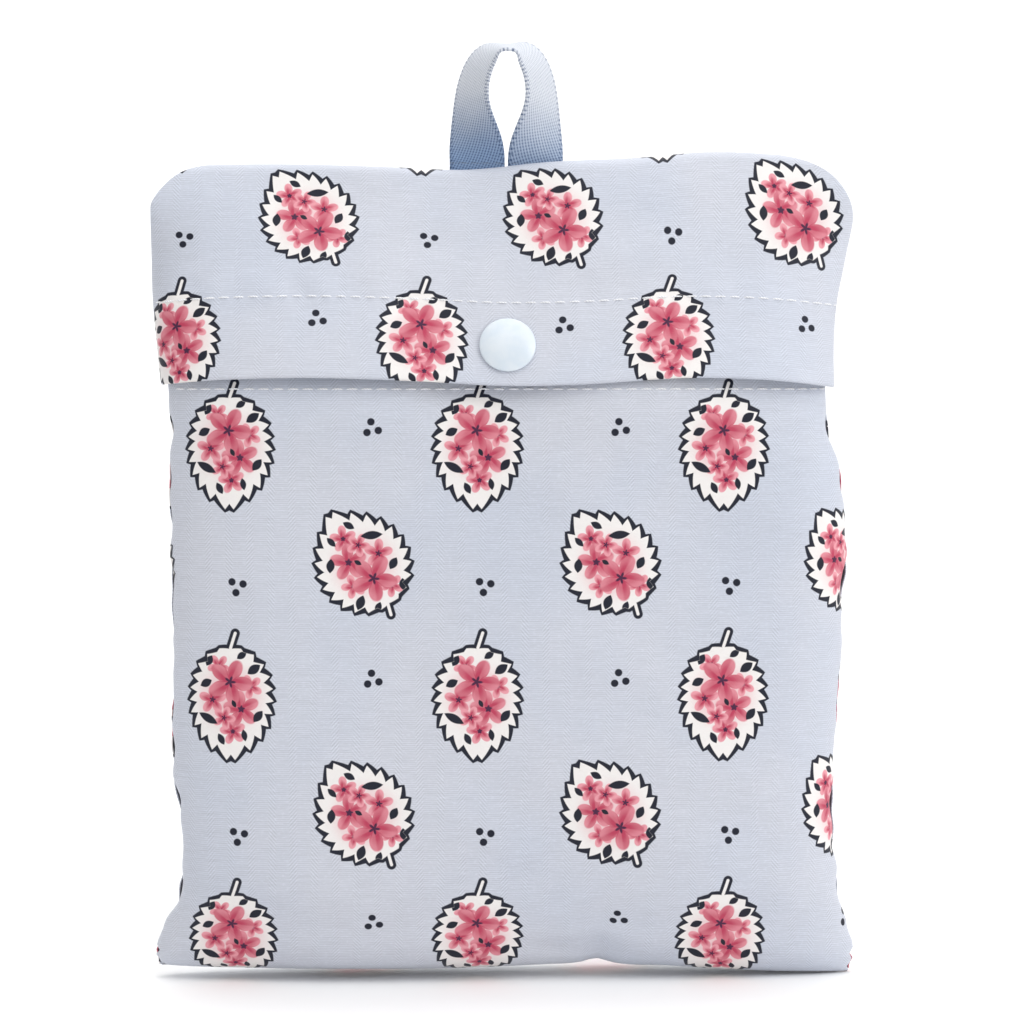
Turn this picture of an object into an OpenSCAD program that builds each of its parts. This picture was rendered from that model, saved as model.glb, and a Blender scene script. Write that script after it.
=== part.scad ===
// A foldable tote bag packed into its own pouch. The pouch stands on its
// bottom, its front faces -Y and +Z is up. A snap flap closes it, a webbing
// loop stands behind the fold at its top, and the tote lies folded inside.

/* [Pouch] */
// Width of the pouch across its middle
pouch_w = 178; // [168:1:200]
// Height of the fold at the top of the pouch
pouch_h = 220; // [214:1:230]
// Most forward reach of the front panel
front_reach = 14.6; // [14:0.1:18]
// Reach of the front panel at the bottom
foot_front = 13; // [12.8:0.1:14]
// Height over which the panels bulge out above the bottom
foot_rise = 7; // [5:0.5:8]
// Reach of the back panel at the bottom
foot_back = 11.8; // [11.6:0.1:12.4]
// Outward flare of the bottom corners
ear_out = 4.5; // [0:0.1:8]
// Height over which the bottom corners flare
ear_h = 16; // [10:1:30]
// Extra half width at the shoulders, under the flap
shoulder_out = 2.5; // [0:0.1:4]
// Corner radius at the top of the pouch
corner_r = 12; // [8:0.5:16]
// Height of the flat bottom tray of the pouch
foot_h = 6; // [5:0.5:10]

/* [Flap] */
// Drop of the flap from the top fold to its lower edge
flap_drop = 59.5; // [56:0.5:62]
// Lean of the flap from upright, in degrees
flap_lean = 21; // [19:0.5:22]
// Outer radius of the fold at the top
fold_r = 3.5; // [3:0.1:4]
// Place of the fold's centre behind the middle of the pouch
fold_y = 9.25; // [9:0.05:9.5]
// Sideways overhang of the flap past the pouch
flap_over = 2.2; // [2:0.1:3]
// Height of the hems of the flap and of the pouch mouth
hem_h = 22.9; // [15:0.1:24]

/* [Cloth] */
// Drawn thickness of one panel
cloth_t = 0.9; // [0.6:0.1:1]
// Drawn thickness of a turned hem
hem_t = 0.6; // [0.3:0.1:0.7]
// Drawn thickness of webbing
web_t = 1.2; // [0.8:0.1:1.4]

/* [Snap] */
// Diameter of the snap cap
cap_d = 15; // [12:0.5:17]
// Height of the cap's dome
cap_h = 2.2; // [1.5:0.1:3]
// Drop of the snap from the top fold
snap_drop = 49.4; // [46:0.1:52]
// Room between the outside of the flap and the front panel at the snap
snap_room = 5; // [4.8:0.1:5.2]
// Radius of the stud's nub
nub_r = 2; // [1.5:0.05:2.1]
// Radius of the socket's bore
socket_r = 2.35; // [2.3:0.05:3]

/* [Hang loop] */
// Width of the loop's webbing
loop_w = 15; // [12:0.5:16]
// Height of the loop's top above the fold
loop_h = 32.2; // [28:0.1:40]
// Half width of the loop's hole
loop_hole = 5.3; // [4:0.1:7]
// Forward lean of the loop's top
loop_lean = 1.9; // [1:0.01:3]

/* [Folded tote] */
// Width of the folded tote
pack_w = 144; // [120:1:146]
// Top of the folded tote
pack_top = 165; // [150:1:166]
// Top of its short front fold
pack_front_top = 81; // [60:1:82]
// Width of the tote's straps
strap_w = 25; // [20:1:28]
// Distance between the two legs of a strap
strap_gap = 64; // [60:1:80]

/* [Hidden] */

print_blue = "#C8D0E0";
web_blue = "#A9BAD6";
thread_white = "#F4F4F2";
snap_white = "#E9EFF6";
label_white = "#FAFAFA";

columns = 24;                    // cells across a panel
wrap_power = 8;                  // squareness of a panel's cross section
blend_w = 1.5;                   // rounding where the front turns in under the flap
flat_gap = 0.05;                 // gap between a snap piece and the cloth it sits on

fold_z = pouch_h - fold_r;
back_y = fold_y + fold_r;
hinge_z = fold_z;                // the flap turns on an axis 0.15 behind back_y, at this height
back_top = hinge_z - 0.4;        // leaves the flap's root room to turn
flap_z = pouch_h - flap_drop;
snap_z = pouch_h - snap_drop;
seam_low_y = -1;                 // side seams, in the lower part
seam_high_y = back_y - 1.5;      // side seams, at the top
seam_in = 6.5;                   // width of a side seam's allowance
mouth_z = flap_z + hem_h - 1.4;  // top edge of the front panel
hem_line_z = mouth_z - hem_h;    // stitch line of the front panel

function smooth(a, b, t) = let (k = min(1, max(0, (t - a) / (b - a)))) k * k * (3 - 2 * k);
function mix(a, b, k) = a + (b - a) * k;
function smooth_max(a, b, w) = (a + b + sqrt((a - b) * (a - b) + w * w)) / 2;
function reverse(list) = [for (i = [len(list) - 1:-1:0]) list[i]];
function steps(a, b, n) = [for (i = [0:n]) mix(a, b, i / n)];
function tail(list) = [for (i = [1:len(list) - 1]) list[i]];

// ---- Outline and cross sections of the pouch ----

function corner_cut(z) = let (k = max(0, z - (pouch_h - corner_r)) / corner_r)
    corner_r * (1 - sqrt(max(0, 1 - k * k)));
function half_w(z) = pouch_w / 2 + ear_out * (1 - smooth(0, ear_h, z))
    + shoulder_out * smooth(flap_z - 12, flap_z + 25, z) - corner_cut(z);
function edge(u) = sqrt(max(0, 1 - pow(abs(u), wrap_power)));
function seam_y(z) = mix(seam_low_y, seam_high_y, smooth(flap_z - 10, hinge_z - 2, z));
function flap_y(z) = fold_y - fold_r * cos(flap_lean)
    - (fold_z + fold_r * sin(flap_lean) - z) * tan(flap_lean);
function front_y(z) = smooth_max(-mix(foot_front, front_reach, smooth(foot_h, foot_h + foot_rise, z)),
                                 flap_y(z) + snap_room, blend_w);
function rear_y(z) = mix(foot_back, back_y, smooth(foot_h, foot_h + foot_rise, z));

// Places across a panel, from -1 to 1, closer together at its edges
across = [for (i = [-columns / 2:columns / 2]) sin(180 * i / columns)];

// A row of points across the pouch at height z, with its middle at y, and its
// ends on the side seam; d is the distance in from the outer face
function pouch_row(z, y, d) = [for (u = across)
    [(half_w(z) - d) * u, mix(seam_y(z), y, edge(u)), z]];
function front_rows(levels, d) = [for (z = levels) pouch_row(z, front_y(z) + d, d)];
function rear_rows(levels, d) = [for (z = levels) pouch_row(z, rear_y(z) - d, d)];

front_levels = concat(steps(foot_h, foot_h + foot_rise, 3), tail(steps(foot_h + foot_rise, flap_z - 14, 8)),
                      tail(steps(flap_z - 14, hem_line_z, 4)), tail(steps(hem_line_z, mouth_z, 4)));
mouth_levels = steps(hem_line_z, mouth_z, 4);
back_levels = concat(front_levels, tail(steps(mouth_z, back_top, 5)));

// ---- Profile of the flap ----

// How far a level of the flap wraps round to the side seam, from 0 to 1
function wrap(z) = 1 - smooth(hinge_z - 24, hinge_z - 2, z);
// A row of points across the flap: its middle is at (y, z), and level is the
// height that sets its width
function flap_row(y, z, level, hug, d) = let (a = half_w(level) + flap_over - d) [for (u = across)
    [a * u, mix(y, mix(seam_y(level) - 0.5, y, edge(u)), hug), z]];
function slope_row(z, d) = flap_row(flap_y(z) + d * cos(flap_lean), z - d * sin(flap_lean),
                                    z, wrap(z), d);
function fold_row(angle, d) = flap_row(fold_y + (fold_r - d) * cos(angle),
    fold_z + (fold_r - d) * sin(angle), fold_z + fold_r * sin(angle), 0, d);

hem_levels = steps(flap_z, flap_z + hem_h, 4);
slope_levels = concat(hem_levels, tail(steps(flap_z + hem_h, fold_z, 8)));
function flap_rows(d) = concat(
    [for (z = slope_levels) slope_row(z, d)],
    [for (angle = steps(180 - flap_lean, 0, 8)) fold_row(angle, d)]);

// Heights of the outer faces at any place, for what is sewn on them
function front_face_y(x, z) = mix(seam_y(z), front_y(z), edge(x / half_w(z)));
function flap_face_y(x, z) = mix(flap_y(z),
    mix(seam_y(z) - 0.5, flap_y(z), edge(x / (half_w(z) + flap_over))), wrap(z));

// ---- Building blocks ----

// A closed sheet between two grids of points: near is the grid on the -Y or
// upper side, far the other; rows climb and points in a row go towards +X
module sheet(near, far) {
    rows = len(near);
    cols = len(near[0]);
    n = rows * cols;
    quads = concat(
        [for (i = [0:rows - 2]) for (j = [0:cols - 2]) let (a = i * cols + j, d = a + cols)
            each [[a, d, d + 1, a + 1], [n + a, n + a + 1, n + d + 1, n + d]]],
        [for (j = [0:cols - 2]) let (t = n - cols + j)
            each [[j, j + 1, n + j + 1, n + j], [t, n + t, n + t + 1, t + 1]]],
        [for (i = [0:rows - 2]) let (a = i * cols, d = a + cols, b = d - 1, c = b + cols)
            each [[a, n + a, n + d, d], [b, c, n + c, n + b]]]);
    polyhedron(points = concat([for (row = near) each row], [for (row = far) each row]),
               faces = [for (q = quads) each [[q[0], q[1], q[2]], [q[0], q[2], q[3]]]],
               convexity = 6);
}

// A profile drawn in Y and Z, carried along X between two places
module along_x(x0, x1, points) {
    translate([x0, 0, 0]) rotate([90, 0, 90]) linear_extrude(x1 - x0) polygon(points);
}

// A row of stitches at height z, on a face whose depth at x is given by a list
// of [x, y] places
stitch = [3, 0.5, 0.6];          // length, thickness and width of one stitch
stitch_pitch = 3.9;
module stitches(places, z, lean) {
    for (p = places) translate([p[0], p[1], z]) rotate([-lean, 0, 0]) cube(stitch, center = true);
}
function stitch_xs(reach) = let (n = floor(reach / stitch_pitch))
    [for (i = [-n:n]) i * stitch_pitch];

// ---- Pouch ----

module pouch_front_panel() {
    color(print_blue) sheet(front_rows(front_levels, 0), front_rows(front_levels, cloth_t));
}

module pouch_back_panel() {
    color(print_blue) sheet(rear_rows(back_levels, cloth_t), rear_rows(back_levels, 0));
}

// Outline of the foot, with d taken off all round
function foot_outline(d) = concat(
    [for (p = pouch_row(foot_h, -foot_front + d, d)) [p[0], p[1]]],
    [for (p = reverse(tail(reverse(tail(pouch_row(foot_h, foot_back - d, d)))))
        ) [-p[0], p[1]]]);
module pouch_bottom_fold() {
    color(print_blue) difference() {
        linear_extrude(foot_h) polygon(foot_outline(0));
        translate([0, 0, cloth_t]) linear_extrude(foot_h) polygon(foot_outline(cloth_t));
    }
}

module front_mouth_hem() {
    color(print_blue) sheet(front_rows(mouth_levels, cloth_t),
                            front_rows(mouth_levels, cloth_t + hem_t));
}

// The seam allowance of one side, a strip that stands in from the seam
function seam_rows(side, y) = [for (z = front_levels) let (
        outer = half_w(z) - cloth_t - hem_t - 0.6, ends = [outer - seam_in, outer])
    [for (x = side < 0 ? [-ends[1], -ends[0]] : ends) [x, seam_y(z) + y, z]]];
module side_seam(side) {
    color(print_blue) sheet(seam_rows(side, -cloth_t / 2), seam_rows(side, cloth_t / 2));
}
module side_seam_left() { side_seam(-1); }
module side_seam_right() { side_seam(1); }

module front_hem_thread() {
    color(thread_white) stitches(
        [for (x = stitch_xs(pouch_w / 2 - 8)) [x, front_face_y(x, hem_line_z)]], hem_line_z, 15);
}

back_seam_drop = 5;              // from the top of the back panel to its stitch line
module back_seam_thread() {
    color(thread_white) stitches(
        [for (x = stitch_xs(pouch_w / 2 - 12)) let (z = back_top - back_seam_drop)
            [x, mix(seam_y(z), rear_y(z), edge(x / half_w(z)))]], back_top - back_seam_drop, 0);
}

label_size = [6.4, 0.4, 25];
label_z = 118;
module care_label() {
    inner = half_w(label_z) - cloth_t - hem_t - 0.6 - seam_in;
    color(label_white) translate([-inner, seam_low_y - label_size[1] / 2, label_z]) cube(label_size);
}

// ---- Snap ----

// Places its children on the snap's axis, which leaves the flap at a right
// angle; its origin is on the outer face of the flap and +Z points outwards
module at_snap() {
    translate([0, flap_y(snap_z), snap_z]) rotate([90 - flap_lean, 0, 0]) children();
}
under_flap = -(cloth_t + hem_t);                  // inner face of the flap's hem
on_front = -snap_room * cos(flap_lean) - 0.1;     // outer face of the front panel
in_front = on_front - (cloth_t + hem_t) * cos(flap_lean);
socket_h = 2;
socket_rim = 5.4;
stud_rim = 5;
stud_base = 0.65;
nub_h = 1.5;
rivet_r = 1.3;                                    // rivet that holds the stud
shank_r = 1.4;                                    // shank of the cap

// A low dome on a short straight rim, as a profile from the axis outwards
cap_rim_h = 0.7;
function dome(r, h, low) = let (big = (r * r + h * h) / (2 * h), turn = asin(r / big))
    concat([[0, low], [r, low]],
           [for (a = steps(turn, 0, 10)) [big * sin(a), h - big * (1 - cos(a)) + low + cap_rim_h]]);
module snap_cap() {
    color(snap_white) at_snap() {
        rotate_extrude($fn = 72) polygon(dome(cap_d / 2, cap_h - cap_rim_h, flat_gap));
        translate([0, 0, under_flap - 0.4]) cylinder(r = shank_r, h = -under_flap + 0.6, $fn = 32);
    }
}

module snap_socket() {
    color(snap_white) at_snap() translate([0, 0, under_flap - flat_gap - socket_h]) difference() {
        cylinder(r = socket_rim, h = socket_h, $fn = 60);
        translate([0, 0, -1]) cylinder(r = socket_r, h = socket_h + 0.5, $fn = 48);
        cylinder(r = shank_r + 0.1, h = socket_h + 1, $fn = 32);
    }
}

module snap_stud() {
    color(snap_white) at_snap() translate([0, 0, on_front + flat_gap]) difference() {
        union() {
            cylinder(r = stud_rim, h = stud_base, $fn = 60);
            cylinder(r = nub_r, h = stud_base + nub_h, $fn = 48);
        }
        translate([0, 0, -1]) cylinder(r = rivet_r + 0.1, h = 2, $fn = 32);
    }
}

post_t = 0.7;
module snap_post() {
    color(snap_white) at_snap() translate([0, 0, in_front - flat_gap - post_t]) {
        cylinder(r = stud_rim, h = post_t, $fn = 60);
        cylinder(r = rivet_r, h = on_front - in_front + post_t + 0.7, $fn = 32);
    }
}

// ---- Flap ----

module flap_panel() {
    color(print_blue) sheet(flap_rows(0), flap_rows(cloth_t));
}

function hem_rows(d) = [for (z = hem_levels) slope_row(z, d)];
module flap_hem() {
    color(print_blue) sheet(hem_rows(cloth_t), hem_rows(cloth_t + hem_t));
}

module flap_hem_thread() {
    z = flap_z + hem_h;
    color(thread_white) stitches(
        [for (x = stitch_xs(pouch_w / 2 - 6)) [x, flap_face_y(x, z)]], z, flap_lean);
}

// ---- Hang loop ----

// The webbing comes out of the seam at the back of the top fold. Its two ends
// are caught inside the fold, side by side, and bar tacks hold them.
loop_angle = 70;                 // place of the seam on the fold, up from its back
loop_y = fold_y + fold_r * cos(loop_angle);
loop_base = pouch_h + 0.4;
tab_gap = 0.4;                   // from the middle to the inner edge of each strand
tab_h = 4;
tab_top = fold_z + 1.8;
module loop_sewn_ends() {
    color(web_blue) for (side = [-1, 1])
        translate([side * (tab_gap + loop_w / 2), loop_y, tab_top - tab_h / 2])
            cube([loop_w, web_t, tab_h], center = true);
}

tack = [loop_w - 3, 0.6, 0.6];
tack_angles = [12, 32];          // places of the tacks on the fold
module loop_bar_tacks() {
    color(thread_white) for (side = [-1, 1]) for (angle = tack_angles)
        translate([side * (tab_gap + loop_w / 2), fold_y + fold_r * cos(angle),
                   fold_z + fold_r * sin(angle)])
            rotate([angle, 0, 0]) cube(tack, center = true);
}

// The loop is one ribbon. Its inner edge draws the front of a drop-shaped
// hole, and its outer edge the back, so it lies flat to the front where it is
// sewn and edge-on at its top. Angle a runs from 0 at one end over 90 at the
// top to 180 at the other end.
hole_peak = 0.4556;              // greatest value of sin(a)^1.3 * cos(a)
hole_h = loop_h - 2.2;
function side_of(a) = a > 90 ? -1 : 1;
function inner_x(a) = side_of(a) * (tab_gap * abs(cos(a))
    + loop_hole * pow(sin(a), 1.3) * abs(cos(a)) / hole_peak);
function outer_x(a) = side_of(a) * (loop_w + tab_gap) * pow(abs(cos(a)), 0.42);
function inner_z(a) = loop_base + (hole_h + pouch_h - loop_base) * sin(a);
function outer_z(a) = loop_base + (loop_h + pouch_h - loop_base) * sin(a);
function depth(a) = sqrt(max(0, loop_w * loop_w - pow(outer_x(a) - inner_x(a), 2)
    - pow(outer_z(a) - inner_z(a), 2)));
function loop_edge(a, side) = [side < 0 ? inner_x(a) : outer_x(a),
    loop_y - loop_lean * sin(a) + side * depth(a) / 2, side < 0 ? inner_z(a) : outer_z(a)];
function unit(v) = v / norm(v);
function loop_normal(a) = let (along = (loop_edge(a + 1, -1) + loop_edge(a + 1, 1))
        - (loop_edge(a - 1, -1) + loop_edge(a - 1, 1)),
    over = loop_edge(a, 1) - loop_edge(a, -1)) unit(cross(along, over));
loop_angles = [for (i = [0:28]) i == 0 ? 0 : i == 28 ? 180 : 90 - 90 * cos(180 * i / 28)];
function end_normal(a) = a < 1 ? [0, -1, 0] : a > 179 ? [0, 1, 0] : loop_normal(a);
function loop_rows(side) = [for (a = loop_angles)
    let (shift = end_normal(a) * side * web_t / 2)
    [loop_edge(a, -1) + shift, loop_edge(a, 1) + shift]];
module hang_loop() {
    color(web_blue) sheet(loop_rows(1), loop_rows(-1));
}

// ---- Folded tote ----

// The stack of cloth runs up the back, over the top, down, and then up and
// down once more at half the height. A lane is a line that keeps the distance
// o from the middle of the stack, between its two free ends.
lane_gap = 0.2;
lane_step = cloth_t + lane_gap;
stack_half = lane_step + cloth_t / 2;
strap_t = 0.7;
strap_lanes = [for (i = [0, 1]) stack_half + (i + 1) * lane_gap + (i + 0.5) * strap_t];
pack_back = back_y - cloth_t - 0.45;
run_y = [pack_back - strap_lanes[1] - strap_t / 2, 2.55, -3.1, -9.3];
turn_r = [for (i = [0:2]) (run_y[i] - run_y[i + 1]) / 2];
turn_y = [for (i = [0:2]) (run_y[i] + run_y[i + 1]) / 2];
turn_z = [pack_top - turn_r[0] - strap_lanes[1] - strap_t / 2, 12.5,
          pack_front_top - turn_r[2] - stack_half];
pack_end = 14;                   // height of the free ends
pack_hem_top = pack_end + 22;
base_top = turn_z[2] - 1.5;      // top of the tote's base in the front run

function turn(i, r, side) = [for (a = steps(0, 180, 14))
    [turn_y[i] + r * cos(a), turn_z[i] + side * r * sin(a)]];
function lane(o, first, last) = concat([[run_y[0] + o, first]], turn(0, turn_r[0] + o, 1),
    turn(1, turn_r[1] - o, -1), turn(2, turn_r[2] + o, 1), [[run_y[3] - o, last]]);
function strap_lane(o, first, last) = concat([[run_y[0] + o, first]],
    turn(0, turn_r[0] + o, 1), [[run_y[1] - o, last]]);
function band(o, t, first, last) = concat(lane(o + t / 2, first, last),
                                          reverse(lane(o - t / 2, first, last)));

module tote_panel(o) {
    color(print_blue) along_x(-pack_w / 2, pack_w / 2, band(o, cloth_t, pack_hem_top, pack_end));
}
module tote_front_panel() { tote_panel(-lane_step); }
module tote_back_panel() { tote_panel(lane_step); }

gusset_w = 32;
module tote_gusset(side) {
    x = side * (pack_w / 2 - gusset_w / 2);
    color(print_blue) along_x(x - gusset_w / 2, x + gusset_w / 2,
                              band(0, cloth_t, pack_end, base_top + 1));
}
module tote_gusset_left() { tote_gusset(-1); }
module tote_gusset_right() { tote_gusset(1); }

module tote_base_panel() {
    color(print_blue) translate([-pack_w / 2, run_y[3] - cloth_t / 2, pack_end])
        cube([pack_w, cloth_t, base_top - pack_end]);
}

module tote_top_hem(o) {
    hem = cloth_t + 0.2;
    color(print_blue) translate([-pack_w / 2, run_y[0] + o - hem / 2, pack_end])
        cube([pack_w, hem, pack_hem_top - pack_end]);
}
module tote_top_hem_front() { tote_top_hem(-lane_step - 0.1); }
module tote_top_hem_back() { tote_top_hem(lane_step); }

// A strap comes up from the hem, over the top of the stack, and bends round in
// front of it; place 0 lies next to the stack, and 1 on top of the other
strap_low = pack_end + 4;
strap_bend_z = [138, 146];
module tote_strap(place) {
    o = strap_lanes[place];
    in_o = o - strap_t / 2;
    out_o = o + strap_t / 2;
    outer = (strap_gap + strap_w) / 2;
    color(web_blue) {
        for (side = [-1, 1])
            along_x(side * strap_gap / 2 - strap_w / 2, side * strap_gap / 2 + strap_w / 2,
                concat(strap_lane(out_o, strap_low, strap_bend_z[place]),
                       reverse(strap_lane(in_o, strap_low, strap_bend_z[place]))));
        translate([0, run_y[1] - in_o, strap_bend_z[place]]) rotate([90, 0, 0])
            linear_extrude(strap_t) difference() {
                circle(r = outer, $fn = 96);
                circle(r = outer - strap_w, $fn = 96);
                translate([-outer - 1, 0]) square([2 * outer + 2, outer + 1]);
            }
    }
}
module tote_strap_front() { tote_strap(0); }
module tote_strap_back() { tote_strap(1); }

tack_box = 16;
tack_t = 0.15;
module tote_strap_tacks() {
    color(thread_white) for (side = [-1, 1])
        translate([side * strap_gap / 2, run_y[0] + strap_lanes[1] + strap_t / 2 + tack_t / 2,
                   strap_low + 2 + tack_box / 2]) {
            for (turned = [0, 90]) rotate([0, turned, 0]) for (place = [-1, 1])
                translate([0, 0, place * (tack_box / 2 - 0.4)])
                    cube([tack_box, tack_t, 0.8], center = true);
            for (turned = [-45, 45]) rotate([0, turned, 0])
                cube([tack_box * 1.3, tack_t, 0.8], center = true);
        }
}

pouch_front_panel();
pouch_back_panel();
pouch_bottom_fold();
front_mouth_hem();
side_seam_left();
side_seam_right();
front_hem_thread();
back_seam_thread();
snap_stud();
snap_post();
care_label();
flap_panel();
flap_hem();
flap_hem_thread();
snap_cap();
snap_socket();
loop_sewn_ends();
loop_bar_tacks();
hang_loop();
tote_front_panel();
tote_back_panel();
tote_gusset_left();
tote_gusset_right();
tote_base_panel();
tote_top_hem_front();
tote_top_hem_back();
tote_strap_front();
tote_strap_back();
tote_strap_tacks();
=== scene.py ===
"""The looks of a foldable tote bag, packed into its own snap pouch, around its CAD frame.

Each sub-assembly is a class with its sizes and the methods that build it: the printed pouch, the snap
flap, the snap, the hang loop and the folded tote inside. Each finish is a frozen dataclass. Shapes are
worked out in millimetres as whole arrays and are turned into metres where a mesh is made.
"""

from __future__ import annotations

import logging
import math
from collections.abc import Mapping, Sequence
from dataclasses import dataclass, field
from enum import Enum

import bmesh
import bpy
import numpy as np
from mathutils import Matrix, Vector
from numpy.typing import NDArray

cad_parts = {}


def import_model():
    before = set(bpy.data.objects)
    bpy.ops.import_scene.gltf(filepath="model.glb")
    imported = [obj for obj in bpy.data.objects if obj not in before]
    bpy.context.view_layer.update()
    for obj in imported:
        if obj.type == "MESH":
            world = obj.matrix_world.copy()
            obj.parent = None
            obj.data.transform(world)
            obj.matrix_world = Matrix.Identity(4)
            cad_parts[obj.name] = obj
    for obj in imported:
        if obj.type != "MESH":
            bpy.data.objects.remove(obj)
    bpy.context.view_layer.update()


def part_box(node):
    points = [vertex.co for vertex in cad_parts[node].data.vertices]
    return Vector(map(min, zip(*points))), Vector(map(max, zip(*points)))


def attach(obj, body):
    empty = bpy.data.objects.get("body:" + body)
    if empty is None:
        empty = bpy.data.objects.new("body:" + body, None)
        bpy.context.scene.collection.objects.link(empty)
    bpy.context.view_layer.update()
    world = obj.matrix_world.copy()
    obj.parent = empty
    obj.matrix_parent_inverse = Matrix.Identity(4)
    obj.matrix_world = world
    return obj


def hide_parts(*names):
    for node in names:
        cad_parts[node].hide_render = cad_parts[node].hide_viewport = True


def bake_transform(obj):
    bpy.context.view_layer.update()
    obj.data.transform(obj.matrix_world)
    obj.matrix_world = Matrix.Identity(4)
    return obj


Array = NDArray[np.float64]
Point = tuple[float, float, float]
Knots = Sequence[tuple[float, float]]
Span = tuple[float, float]

MM = 0.001
TINY = 1e-9
BAND_EDGE = 0.55
BAND_FACE = 0.35
CLOTH_MAP = "cloth"
log = logging.getLogger("tote_bag")


class Body(Enum):
    """The bodies of the frame that pieces ride on."""

    POUCH = "pouch"
    FLAP = "flap"
    LOOP = "hang_loop"
    TOTE = "folded_tote"


class Slot(Enum):
    """The record's material slots."""

    CLOTH = "print_cloth"
    THREAD = "thread"
    WEBBING = "webbing"
    SNAP = "snap_plastic"
    LABEL = "label_tape"


# ---------------------------------------------------------------------------------------------
# Curves and fields
# ---------------------------------------------------------------------------------------------


def ease(start: float, end: float, at: Array) -> Array:
    """A smooth step.

    Args:
        start: where the step begins, with the value 0.
        end: where it ends, with the value 1.
        at: places to work it out at.

    Returns:
        3k squared less 2k cubed, where k runs from 0 to 1 between start and end.
    """
    k = np.clip((at - start) / (end - start), 0.0, 1.0)
    return k * k * (3.0 - 2.0 * k)


def lerp(a: Array | float, b: Array | float, k: Array | float) -> Array:
    """The value that lies the share k of the way from a to b."""
    return a + (b - a) * k


def through(knots: Knots, at: Array) -> Array:
    """A smooth curve through a few knots.

    Args:
        knots: pairs of place and value, in rising order of place.
        at: places to work it out at; outside the knots the end value holds.

    Returns:
        The cubic Hermite curve whose slopes are the knots' central differences.
    """
    xs, ys = np.array(knots, float).T
    slopes = np.gradient(ys, xs)
    i = np.clip(np.searchsorted(xs, at) - 1, 0, len(xs) - 2)
    h = xs[i + 1] - xs[i]
    t = np.clip((at - xs[i]) / h, 0.0, 1.0)
    rise = t * t * (3.0 - 2.0 * t)
    bend = h * (t * (1.0 - t) ** 2 * slopes[i] - t * t * (1.0 - t) * slopes[i + 1])
    return ys[i] + (ys[i + 1] - ys[i]) * rise + bend


def ripples(a: Array, b: Array, wave: float, seed: int, count: int = 9) -> Array:
    """A soft random field over two axes.

    Args:
        a: first axis.
        b: second axis.
        wave: usual distance between crests.
        seed: picks the field.
        count: number of waves in it.

    Returns:
        The sum of that many sine waves in seeded directions, over the root of their number.
    """
    draw = np.random.default_rng(seed)
    total = np.zeros(np.broadcast(a, b).shape)
    for _ in range(count):
        turn, phase = draw.uniform(0.0, 2.0 * math.pi, 2)
        pace = 2.0 * math.pi / (wave * draw.uniform(0.65, 1.6))
        total += np.sin(pace * (a * math.cos(turn) + b * math.sin(turn)) + phase)
    return total / math.sqrt(count)


def bump_at(a: Array, middle: float, reach: float) -> Array:
    """A bell of height 1 at the middle: e to the power of less the squared distance over reach."""
    return np.exp(-(((a - middle) / reach) ** 2))


def squared(wave: Array, power: float) -> Array:
    """A wave with its size raised to a power and its sign kept; less than 1 squares its turns."""
    return np.sign(wave) * np.abs(wave) ** power


def unit(vectors: Array) -> Array:
    """Each vector over its own length."""
    return vectors / np.maximum(np.linalg.norm(vectors, axis=-1, keepdims=True), TINY)


def square_to(vectors: Array, axes: Array) -> Array:
    """Unit vectors at right angles to the axes: each vector less its part along its axis."""
    return unit(vectors - axes * (vectors * axes).sum(axis=1, keepdims=True))


@dataclass(frozen=True)
class Ripple:
    """A soft random field over two axes, with the second one squeezed, in millimetres."""

    wave: float
    seed: int
    height: float
    squeeze: float = 1.0

    def at(self, a: Array, b: Array) -> Array:
        """The field's height at each place."""
        return ripples(a, b * self.squeeze, self.wave, self.seed) * self.height


@dataclass(frozen=True)
class Bell:
    """A soft bump on the cloth: its middle and its reach across and up, and its height."""

    x: float
    z: float
    reach_x: float
    reach_z: float
    height: float = 1.0

    def at(self, x: Array, z: Array) -> Array:
        """The bump's height at each place."""
        return bump_at(x, self.x, self.reach_x) * bump_at(z, self.z, self.reach_z) * self.height


def lengths_along(points: Array) -> Array:
    """Running length of a line of points, 0 at its first point."""
    steps = np.linalg.norm(np.diff(points, axis=0), axis=1)
    return np.concatenate([[0.0], np.cumsum(steps)])


def resample(points: Array, step: float) -> tuple[Array, Array]:
    """Spaces a line's points evenly.

    Args:
        points: one row per point, with any number of columns; the first two are places.
        step: wanted distance between points.

    Returns:
        The new rows, and the running length at each.
    """
    run = lengths_along(points[:, :2])
    wanted = np.linspace(0.0, run[-1], max(2, int(round(run[-1] / step)) + 1))
    return np.stack([np.interp(wanted, run, column) for column in points.T], axis=1), wanted


def arc(middle: tuple[float, float], reach: float, start: float, end: float, count: int) -> Array:
    """Points on an arc in the Y-Z plane.

    Args:
        middle: centre of the arc.
        reach: its radius.
        start: first angle, in degrees up from +Y.
        end: last angle.
        count: number of points.

    Returns:
        The centre plus the radius times the cosine and sine of evenly spaced angles.
    """
    angle = np.radians(np.linspace(start, end, count))
    return np.stack([middle[0] + reach * np.cos(angle), middle[1] + reach * np.sin(angle)], axis=1)


# ---------------------------------------------------------------------------------------------
# Meshes
# ---------------------------------------------------------------------------------------------


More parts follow.
